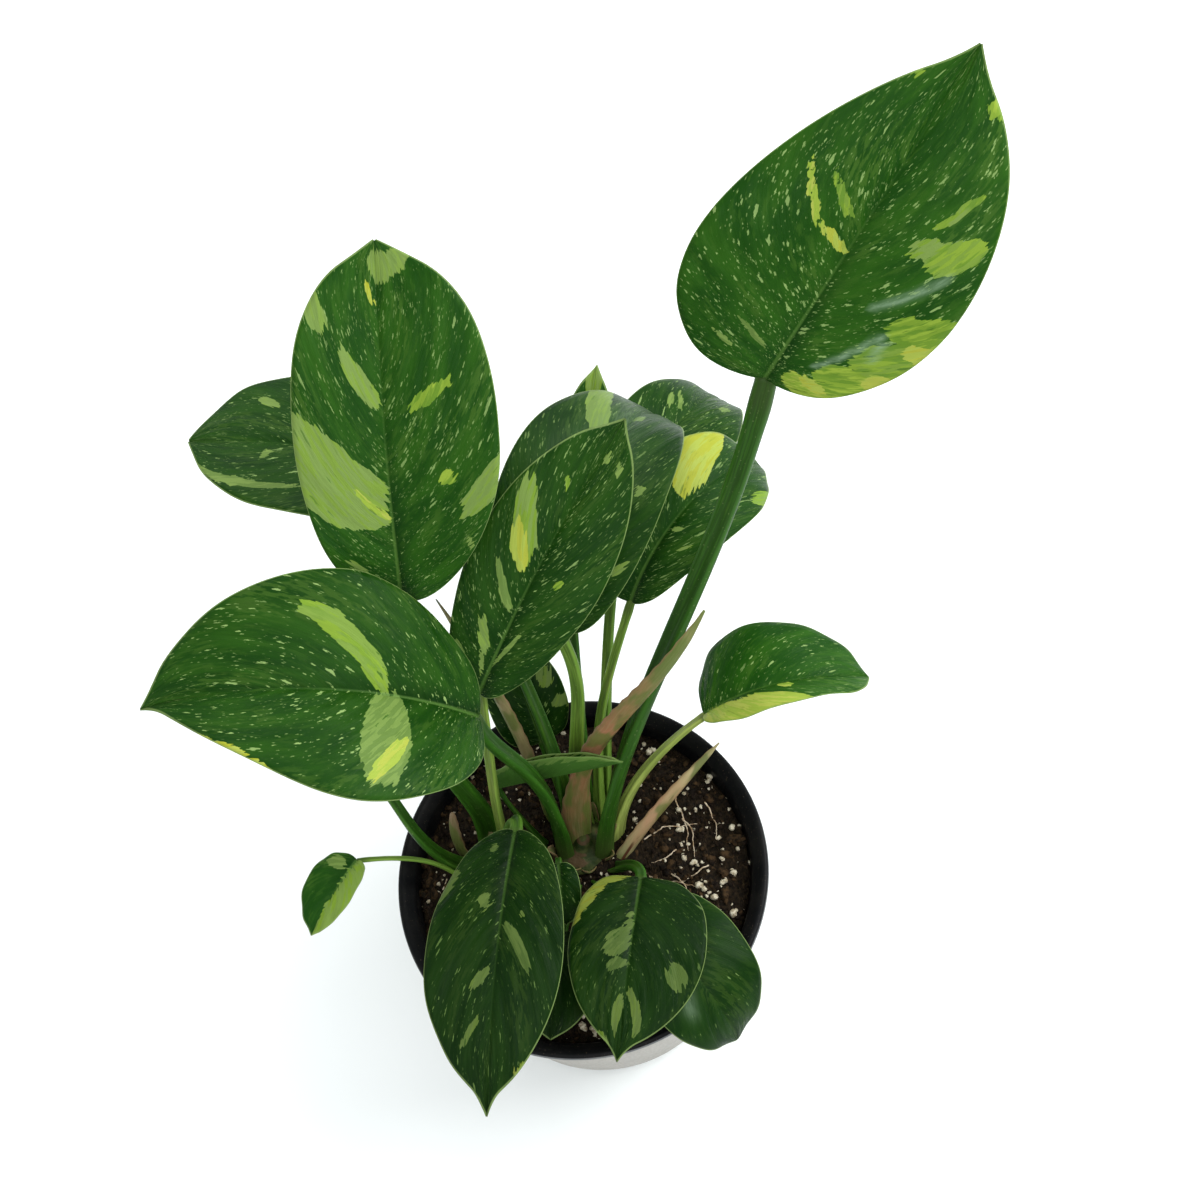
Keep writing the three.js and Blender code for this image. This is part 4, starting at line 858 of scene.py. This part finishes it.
def leaf_finish():
    paint = {
        "deep": (0.0092, 0.061, 0.0028), "fresh": (0.0225, 0.100, 0.0050), "light": (0.056, 0.142, 0.0160),
        "mottled": (0.038, 0.118, 0.0100), "vein": (0.034, 0.118, 0.012), "painted_fold_shadow": (0.0040, 0.034, 0.0025),
        "dull fleck": (0.060, 0.115, 0.022), "pale fleck": (0.25, 0.38, 0.120),
        "shaded": (0.10, 0.20, 0.020), "torn": (0.080, 0.200, 0.016), "island": (0.028, 0.105, 0.008),
        "midrib": (0.085, 0.185, 0.032), "margin": (0.22, 0.32, 0.10), "painted_sheen": (0.25, 0.37, 0.24),
        "underside": (0.060, 0.145, 0.025),
    }
    material, tree, shader = finish_of("variegated leaf")
    place, (_, side, _) = read(tree, "blade_place")
    _, (tint, under, margin) = read(tree, "blade_look")
    _, (from_rib, swell, share) = read(tree, "blade_vein")
    _, (painted_sheen, fleck_share, _) = read(tree, "blade_sheen_flecks")
    clouds = grain(tree, place, 9, (1, 2, 1), detail=3)
    zones = grain(tree, place, 16, (1, 1.6, 1), detail=2)
    mottle = grain(tree, place, 1.6, (1, 2.4, 1), detail=3, rough=0.6)
    green = blend(tree, fade(tree, clouds, 0.35, 0.7), paint["deep"], paint["fresh"])
    light = maths(tree, "MULTIPLY", fade(tree, zones, 0.50, 0.64), fade(tree, mottle, 0.44, 0.56))
    green = blend(tree, maths(tree, "MULTIPLY", light, 0.75), green, paint["light"])
    green = blend(tree, fade(tree, mottle, 0.52, 0.64, 0.0, 0.40), green, paint["mottled"])
    green = blend(tree, fade(tree, swell, 0.0, 0.35, 0.16, 0.0), green, paint["vein"])
    # A painted shadow darkens the green along the midrib where the blade folds: darkest near the rib and
    # towards the base, and more on the right half than the left.
    right = fade(tree, side, -0.5, 0.5, 0.75, 0.30)
    painted_fold_shadow = maths(tree, "MULTIPLY", fade(tree, from_rib, 0.5, 8.0, 1.0, 0.0),
                 fade(tree, share, 0.3, 0.8, 1.0, 0.0))
    green = blend(tree, maths(tree, "MULTIPLY", painted_fold_shadow, right), green, paint["painted_fold_shadow"])
    green = scaled(tree, green, fade(tree, tint, 0.0, 1.0, 0.20, 0.84))
    crowd = fade(tree, grain(tree, place, 12, detail=2), 0.36, 0.60, 0.35, 1.0)
    crowd = maths(tree, "MULTIPLY", crowd, fade(tree, tint, 0.1, 0.6, 0.45, 1.0))
    crowd = maths(tree, "MULTIPLY", crowd, fleck_share)
    dust = flecked(tree, place, 0.62, 1.8, maths(tree, "MULTIPLY", crowd, 0.46))
    fine = flecked(tree, place, 1.05, 2.0, maths(tree, "MULTIPLY", crowd, 0.36))
    coarse = flecked(tree, place, 2.0, 2.2, maths(tree, "MULTIPLY", crowd, 0.15))
    pale = blend(tree, fade(tree, tint, 0.1, 0.6, 0.12, 1.0), paint["dull fleck"], paint["pale fleck"])
    green = blend(tree, maths(tree, "MULTIPLY", dust, 0.50), green, pale)
    green = blend(tree, maths(tree, "MULTIPLY", fine, 0.90), green, pale)
    green = blend(tree, maths(tree, "MULTIPLY", coarse, 0.90), green, pale)
    streaks = grain(tree, place, 2.0, (1, 3.5, 1), detail=3)
    for name in ("blade_patch", "blade_streak"):
        mask, tone = ragged(tree, place, name)
        two_tone = maths(tree, "MULTIPLY_ADD", fade(tree, streaks, 0.50, 0.54), 0.14, tone)
        colour = ramp(tree, maths(tree, "SUBTRACT", two_tone, 0.05), PATCH_TONES)
        colour = blend(tree, fade(tree, mottle, 0.42, 0.30, 0.0, 0.30), colour, paint["shaded"])
        limy = maths(tree, "MULTIPLY", fade(tree, tone, 0.42, 0.52), fade(tree, tone, 0.65, 0.75, 1.0, 0.0))
        tears = grain(tree, place, 2.6, (1, 3.5, 1), detail=3)
        torn = maths(tree, "MULTIPLY", limy, fade(tree, tears, 0.50, 0.54))
        colour = blend(tree, maths(tree, "MULTIPLY", torn, 0.6), colour, paint["torn"])
        islands = flecked(tree, place, 1.6, 2.6, 0.12)
        colour = blend(tree, maths(tree, "MULTIPLY", islands, 0.8), colour, paint["island"])
        green = blend(tree, mask, green, scaled(tree, colour, fade(tree, tint, 0.0, 0.6, 0.30, 0.86)))
    rib_width = maths(tree, "MULTIPLY_ADD", share, -0.90, 1.20)
    on_rib = fade(tree, maths(tree, "DIVIDE", from_rib, rib_width), 0.20, 1.0, 0.55, 0.0)
    on_rib = maths(tree, "MULTIPLY", on_rib, fade(tree, tint, 0.1, 0.6, 0.5, 1.0))
    on_rib = maths(tree, "MULTIPLY", on_rib, fade(tree, share, 0.25, 0.80, 1.0, 0.1))
    green = blend(tree, on_rib, green, paint["midrib"])
    green = blend(tree, fade(tree, margin, 0.18, 0.34, 0.60, 0.0), green, paint["margin"])
    # A painted sheen: where the leaf shines, its colour is painted towards a pale grey-green highlight,
    # broken up by the mottle.
    painted_sheen_share = maths(tree, "MULTIPLY", painted_sheen, fade(tree, mottle, 0.30, 0.62, 0.45, 1.0))
    green = blend(tree, painted_sheen_share, green, paint["painted_sheen"])
    green = blend(tree, maths(tree, "MULTIPLY", under, 0.55), green, paint["underside"])
    dull = maths(tree, "MULTIPLY_ADD", under, 0.22, fade(tree, clouds, 0.3, 0.7, 0.30, 0.42))
    feed(tree, shader, {"Base Color": green, "Roughness": dull, "Specular IOR Level": 0.07})
    ribs = grain(tree, place, 0.45, (1, 40, 1), detail=1)
    pores = grain(tree, place, 0.28, detail=1)
    dents = grain(tree, place, 6.5, (1, 2, 1), detail=2)
    fine_relief = maths(tree, "MULTIPLY_ADD", pores, 0.5, ribs)
    relief(tree, shader, maths(tree, "MULTIPLY_ADD", dents, 9.0, fine_relief), 0.00014, 0.9)
    return material


leaf_green = leaf_finish()
for seed, leaf in enumerate(LEAVES):
    blade = blade_mesh(leaf, seed + 1)
    blade.materials.append(leaf_green)
    piece("blade_" + leaf["name"], blade, "leaf", "leaf_" + leaf["name"])


# The stalks are firm and fleshy, flat on the side that faces the crown, with a channel between two paler
# ridges. Each broadens at its foot into a sheath that clasps the crown, and thickens under the blade.
def bezier(points, s):
    """Places and directions on a curve of four control points at shares s of its run."""
    a, b, c, d = (np.array(point, float) for point in points)
    s = s[:, None]
    place = cubic(a, b, c, d, s)
    way = 3 * (1 - s) ** 2 * (b - a) + 6 * s * (1 - s) * (c - b) + 3 * s * s * (d - c)
    return place, way / np.linalg.norm(way, axis=1, keepdims=True)


def square_to(vectors, tangent):
    vectors = vectors - np.sum(vectors * tangent, 1, keepdims=True) * tangent
    return vectors / np.linalg.norm(vectors, axis=1, keepdims=True)


# The height of every foot, how many mm of noise lie between one stalk and the next, and the colours from
# dark green to pale
STALK_FOOT = 86.0
STALK_APART = 19.3
STALK_TONES = [(0.0, (0.007, 0.034, 0.0025)), (0.35, (0.015, 0.054, 0.0038)), (0.65, (0.080, 0.146, 0.019)),
               (1.0, (0.21, 0.26, 0.060))]


def stalk_mesh(leaf, seed):
    rings, sides = (56, 20) if leaf["small"] else (84, 28)
    foot_width, middle_width, top_width = leaf["stalk"]
    compass, distance = leaf["foot"]
    foot = np.array([*CROWNS[leaf["crown"]], STALK_FOOT]) + aim(compass, 0) * distance
    along, _, up = midrib_frame(leaf, np.array(0.0))
    top = np.array(leaf["at"], float) - up * 0.3 * top_width + along * 0.15 * top_width
    last = aim(*leaf["arrive"]) if leaf["arrive"] else along
    controls = [foot, foot + aim(*leaf["lean"]) * leaf["reach"][0], top - last * leaf["reach"][1], top]
    s = np.linspace(0, 1, rings)
    place, tangent = bezier(controls, s)
    run = np.concatenate([[0], np.cumsum(np.linalg.norm(np.diff(place, axis=0), axis=1))])
    face = square_to(mix(-aim(compass, 0), up, np.minimum(1, s * 1.2)[:, None]), tangent)
    side = np.cross(face, tangent)
    sheath = (1 - s) ** 3
    knuckle = 1 + 0.10 * np.exp(-((s - 0.955) / 0.03) ** 2)
    width = mix(mix(middle_width, top_width, s), foot_width, sheath) / 2 * knuckle
    depth = mix(0.85 * mix(middle_width, top_width, s), 0.66 * foot_width, np.minimum(1, sheath * 1.3))
    depth = depth / 2 * knuckle
    turn = np.linspace(0, 2 * np.pi, sides, endpoint=False)
    x = width[:, None] * np.cos(turn)
    y = depth[:, None] * np.sin(turn)
    share = s[:, None]
    inner = np.clip(np.sin(turn), 0, 1) + 0 * share
    channel = mix(0.75, 0.30, share) * depth[:, None] * inner * np.exp(-(np.cos(turn) / 0.55) ** 2)
    clasp = 0.9 * np.clip(1 - share / 0.22, 0, 1) * np.cos(turn) ** 2 * depth[:, None]
    y = y - channel + clasp
    point = place[:, None] + side[:, None] * x[..., None] + face[:, None] * y[..., None]
    line = np.stack([x + STALK_APART * seed, y, run[:, None] + 0 * x], -1)
    ridge = np.exp(-((np.abs(np.cos(turn)) - 0.85) / 0.16) ** 2) * np.clip(np.sin(turn) + 0.5, 0, 1)
    look = np.stack([np.full(x.shape, leaf["stalk_tone"]), share + 0 * x, ridge + 0 * x], -1)
    return loft("stalk " + leaf["name"], point / 1000, {"stalk_line": line, "stalk_look": look})


def stalk_finish():
    fleck_green, foot_olive, knuckle_green = (0.22, 0.30, 0.11), (0.085, 0.105, 0.030), (0.035, 0.060, 0.012)
    material, tree, shader = finish_of("leaf stalk")
    line, _ = read(tree, "stalk_line")
    _, (tone, share, ridge) = read(tree, "stalk_look")
    strands = grain(tree, line, 0.6, (1, 1, 30), detail=3)
    clouds = grain(tree, line, 3.0, (1, 1, 5), detail=2)
    tone = maths(tree, "MULTIPLY_ADD", maths(tree, "SUBTRACT", clouds, 0.5), 0.35, tone)
    colour = ramp(tree, tone, STALK_TONES)
    brighter = scaled(tree, colour, 2.3)
    colour = blend(tree, fade(tree, strands, 0.42, 0.70, 0.0, 0.50), colour, brighter)
    colour = blend(tree, maths(tree, "MULTIPLY", ridge, 0.75), colour, brighter)
    specks = maths(tree, "MULTIPLY", flecked(tree, line, 0.8, 1.3, 0.16), 0.35)
    colour = blend(tree, specks, colour, fleck_green)
    colour = blend(tree, fade(tree, share, 0.0, 0.14, 0.45, 0.0), colour, foot_olive)
    colour = blend(tree, fade(tree, share, 0.93, 0.97, 0.0, 0.45), colour, knuckle_green)
    feed(tree, shader, {"Base Color": colour, "Roughness": 0.40, "Specular IOR Level": 0.14})
    relief(tree, shader, strands, 0.00018, 0.6)
    return material


stalk_green = stalk_finish()
for seed, leaf in enumerate(LEAVES):
    stalk = stalk_mesh(leaf, seed + 1)
    stalk.materials.append(stalk_green)
    piece("petiole_" + leaf["name"], stalk, "stalk", "stalk_" + leaf["name"])


# The sheaths once wrapped young leaves, and stand beside them on the crown. They are thin pointed channels
# with fine long ribs, dried from olive green to pink and tan, with brown papery edges.

# Each follows a curve of four places, with its back to one side, its widths at foot, middle and tip, and its
# colours from foot to tip
SHEATHS = {
    "broad": dict(path=[(2.5, 2.1, 86), (-3.5, 53.5, 120), (32.5, 12.5, 182), (66.5, 44.5, 208)],
                  back=(0.2, -1, 0.3), width=(7, 10, 3), swell=5,
                  colours=[(0.10, 0.105, 0.024), (0.33, 0.145, 0.072), (0.115, 0.135, 0.030)]),
    "slender": dict(path=[(16.5, 3.5, 88), (24.5, 9.5, 99), (48.5, 23.5, 109), (67, 35.5, 115)],
                    back=(0.3, -1, 0.6), width=(7, 6, 1.6), groove=True,
                    colours=[(0.26, 0.25, 0.11), (0.36, 0.21, 0.11), (0.42, 0.36, 0.17)]),
    "upright": dict(path=[(-9.5, 23.5, 86), (-11.5, 45.5, 115), (-15.5, 55.5, 148), (-30.5, 73.5, 207)],
                    back=(-0.4, -1, 0.3), width=(6, 6, 1.6),
                    colours=[(0.16, 0.18, 0.05), (0.24, 0.20, 0.085), (0.26, 0.22, 0.10)]),
    "short": dict(path=[(-48.5, 18.5, 86), (-51.5, 20.5, 100), (-49.5, 24.5, 110), (-47.5, 26.5, 120)],
                  back=(-0.4, -1, 0.3), width=(5, 5, 2),
                  colours=[(0.10, 0.11, 0.04), (0.17, 0.14, 0.07), (0.22, 0.15, 0.08)]),
}

# How far round the channel closes on each side, and how many mm of noise lie between one and the next
WRAP = math.radians(65)
SHEATH_APART = 17


def sheath_mesh(name, shape, seed, rings=90, steps=22):
    s = np.linspace(0, 1, rings)
    place, tangent = bezier(shape["path"], s)
    run = np.concatenate([[0], np.cumsum(np.linalg.norm(np.diff(place, axis=0), axis=1))])
    back = square_to(np.array(shape["back"], float) + np.zeros((rings, 3)), tangent)
    side = np.cross(tangent, back)
    foot, middle, tip = shape["width"]
    width = np.where(s < 0.5, mix(foot, middle, s * 2), mix(middle, tip, np.abs(s * 2 - 1) ** 1.6))
    width = width + shape.get("swell", 0) * np.exp(-((s - 0.17) / 0.09) ** 2)
    width = width * np.clip((1.02 - s) / 0.10, 0.06, 1) ** 0.6
    radius = width / 2 / math.sin(WRAP)
    swing = np.linspace(-1, 1, steps)
    thick = 0.9 - 0.55 * swing ** 2
    ribs = 0.06 * np.cos(swing * 26)
    ragged_edge = shape.get("ragged", 0.05) * np.sin(run[:, None] * 0.9 + 2 * seed) * swing ** 3
    turn = WRAP * (swing + ragged_edge)
    outer = radius[:, None] + ribs
    inner = np.maximum(outer - np.minimum(thick, 0.6 * radius[:, None]), 0.05)

    def arc(reach, turn):
        drop = 0.7 * radius[:, None]
        return (place[:, None] + back[:, None] * (reach * np.cos(turn) - drop)[..., None]
                + side[:, None] * (reach * np.sin(turn))[..., None])

    point = np.concatenate([arc(outer, turn), arc(inner, turn)[:, ::-1]], 1)
    across = np.concatenate([swing, swing[::-1]])
    skin = np.concatenate([outer, inner[:, ::-1]], 1)
    line = np.stack([across * width[:, None] / 2 + SHEATH_APART * seed, skin * 0.3,
                     run[:, None] + 0 * across], -1)
    look = np.stack([across + 0 * s[:, None], s[:, None] + 0 * across, np.zeros(line.shape[:2])], -1)
    return loft("sheath " + name, point / 1000, {"sheath_line": line, "sheath_look": look})


def sheath_finish(name, colours, groove=False):
    straw, olive, papery = (0.34, 0.28, 0.14), (0.090, 0.130, 0.022), (0.24, 0.13, 0.07)
    dark_groove, spoiled = (0.075, 0.026, 0.010), (0.11, 0.055, 0.025)
    material, tree, shader = finish_of("sheath " + name)
    line, _ = read(tree, "sheath_line")
    _, (across, share, _) = read(tree, "sheath_look")
    strands = grain(tree, line, 0.45, (1, 1, 26), detail=3)
    clouds = grain(tree, line, 3.0, (1, 1, 3), detail=3)
    share = maths(tree, "MULTIPLY_ADD", maths(tree, "SUBTRACT", clouds, 0.5), 0.5, share)
    colour = ramp(tree, share, list(zip((0.08, 0.45, 0.85), colours)))
    colour = blend(tree, fade(tree, strands, 0.42, 0.72, 0.0, 0.22), colour, straw)
    green = grain(tree, line, 6.0, (1, 1, 2.5), detail=2)
    colour = blend(tree, fade(tree, green, 0.44, 0.58, 0.0, 0.8), colour, olive)
    dry = fade(tree, maths(tree, "ABSOLUTE", across), 0.72, 1.0, 0.0, 0.6)
    colour = blend(tree, dry, colour, papery)
    if groove:
        off = maths(tree, "ABSOLUTE", maths(tree, "ADD", across, 0.1))
        low = fade(tree, share, 0.22, 0.34, 1.0, 0.0)
        middle = maths(tree, "MULTIPLY", fade(tree, off, 0.10, 0.22, 1.0, 0.0), low)
        colour = blend(tree, middle, colour, dark_groove)
    brown = maths(tree, "MULTIPLY", fade(tree, clouds, 0.58, 0.70), fade(tree, strands, 0.4, 0.6))
    colour = blend(tree, maths(tree, "MULTIPLY", brown, 0.5), colour, spoiled)
    feed(tree, shader, {"Base Color": colour, "Roughness": 0.55, "Specular IOR Level": 0.3})
    relief(tree, shader, strands, 0.00035, 0.8)
    return material


for seed, (name, shape) in enumerate(SHEATHS.items()):
    sheath = sheath_mesh(name, shape, seed + 1)
    sheath.materials.append(sheath_finish(name, shape["colours"], shape.get("groove", False)))
    piece("papery_sheath_" + name, sheath, "sheath", "sheath_" + name)

# Short torn scales, the last of older leaves, stand round both crowns. Each has its crown, its compass and
# distance from it, its height and its width.
SCALE_FOOT = 87.0
SCALES = [
    ("main", 236, 11, 8, 8), ("main", 272, 10.5, 6, 9), ("main", 322, 11.5, 8, 7), ("main", 8, 12, 11, 6),
    ("main", 188, 12, 10, 7), ("main", 62, 12, 12, 8), ("left", 318, 8, 12, 7), ("left", 12, 8.5, 14, 6),
    ("left", 250, 9, 9, 8), ("left", 200, 9, 12, 7), ("left", 84, 9, 10, 7),
]
torn = sheath_finish("torn scale", [(0.085, 0.075, 0.024), (0.12, 0.13, 0.040), (0.24, 0.21, 0.10)])
for seed, (crown, compass, distance, height, width) in enumerate(SCALES):
    out = aim(compass, 0)
    foot = np.array([*CROWNS[crown], SCALE_FOOT]) + out * distance
    rise = np.array([0, 0, height])
    path = [foot, foot + rise * 0.5, foot + rise * 0.9 + out, foot + rise * 1.3 + out * 3.5]
    shape = dict(path=path, back=(*out[:2], 0.3), width=(width, width * 0.8, width * 0.3), ragged=0.16)
    scale = sheath_mesh("scale", shape, seed + 11, rings=26, steps=14)
    scale.materials.append(torn)
    piece("torn_scale_%d" % (seed + 1), scale, "sheath")


# The studio: a pale sheet of floor in an even pale surround, with a large soft lamp high on the right and
# two weaker ones behind and in front.
floor_mesh = bpy.data.meshes.new("floor")
reach = 3.0
corners = [(-reach, -reach, 0), (reach, -reach, 0), (reach, reach, 0), (-reach, reach, 0)]
floor_mesh.from_pydata(corners, [], [(0, 1, 2, 3)])
floor = bpy.data.objects.new("floor", floor_mesh)
bpy.context.scene.collection.objects.link(floor)
pale, tree, shader = finish_of("pale floor")
sheet = blend(tree, grain(tree, own_place(tree), 0.4), (0.87, 0.91, 0.91), (0.90, 0.94, 0.94))
feed(tree, shader, {"Base Color": sheet, "Roughness": 0.9, "Specular IOR Level": 0.1})
floor_mesh.materials.append(pale)

# Each lamp's place, size and power, and the place that all of them face
LAMPS = {
    "right": ((1.2, 0.25, 1.25), 1.2, 25),
    "back": ((0.0, 1.1, 1.4), 1.4, 8),
    "front": ((0.1, -1.0, 1.5), 1.4, 10),
}
LIT = Vector((0.0, 0.05, 0.15))
for name, (place, size, power) in LAMPS.items():
    lamp = bpy.data.lights.new(name, "AREA")
    lamp.size = size
    lamp.energy = power
    holder = bpy.data.objects.new(name, lamp)
    holder.location = place
    holder.rotation_euler = (LIT - Vector(place)).to_track_quat("-Z", "Y").to_euler()
    bpy.context.scene.collection.objects.link(holder)
surround = bpy.data.worlds.new("surround")
surround.use_nodes = True
sky = surround.node_tree.nodes["Background"]
feed(surround.node_tree, sky, {"Color": (0.98, 0.99, 1.0, 1), "Strength": 0.83})
bpy.context.scene.world = surround
bpy.context.scene.view_settings.view_transform = "Standard"
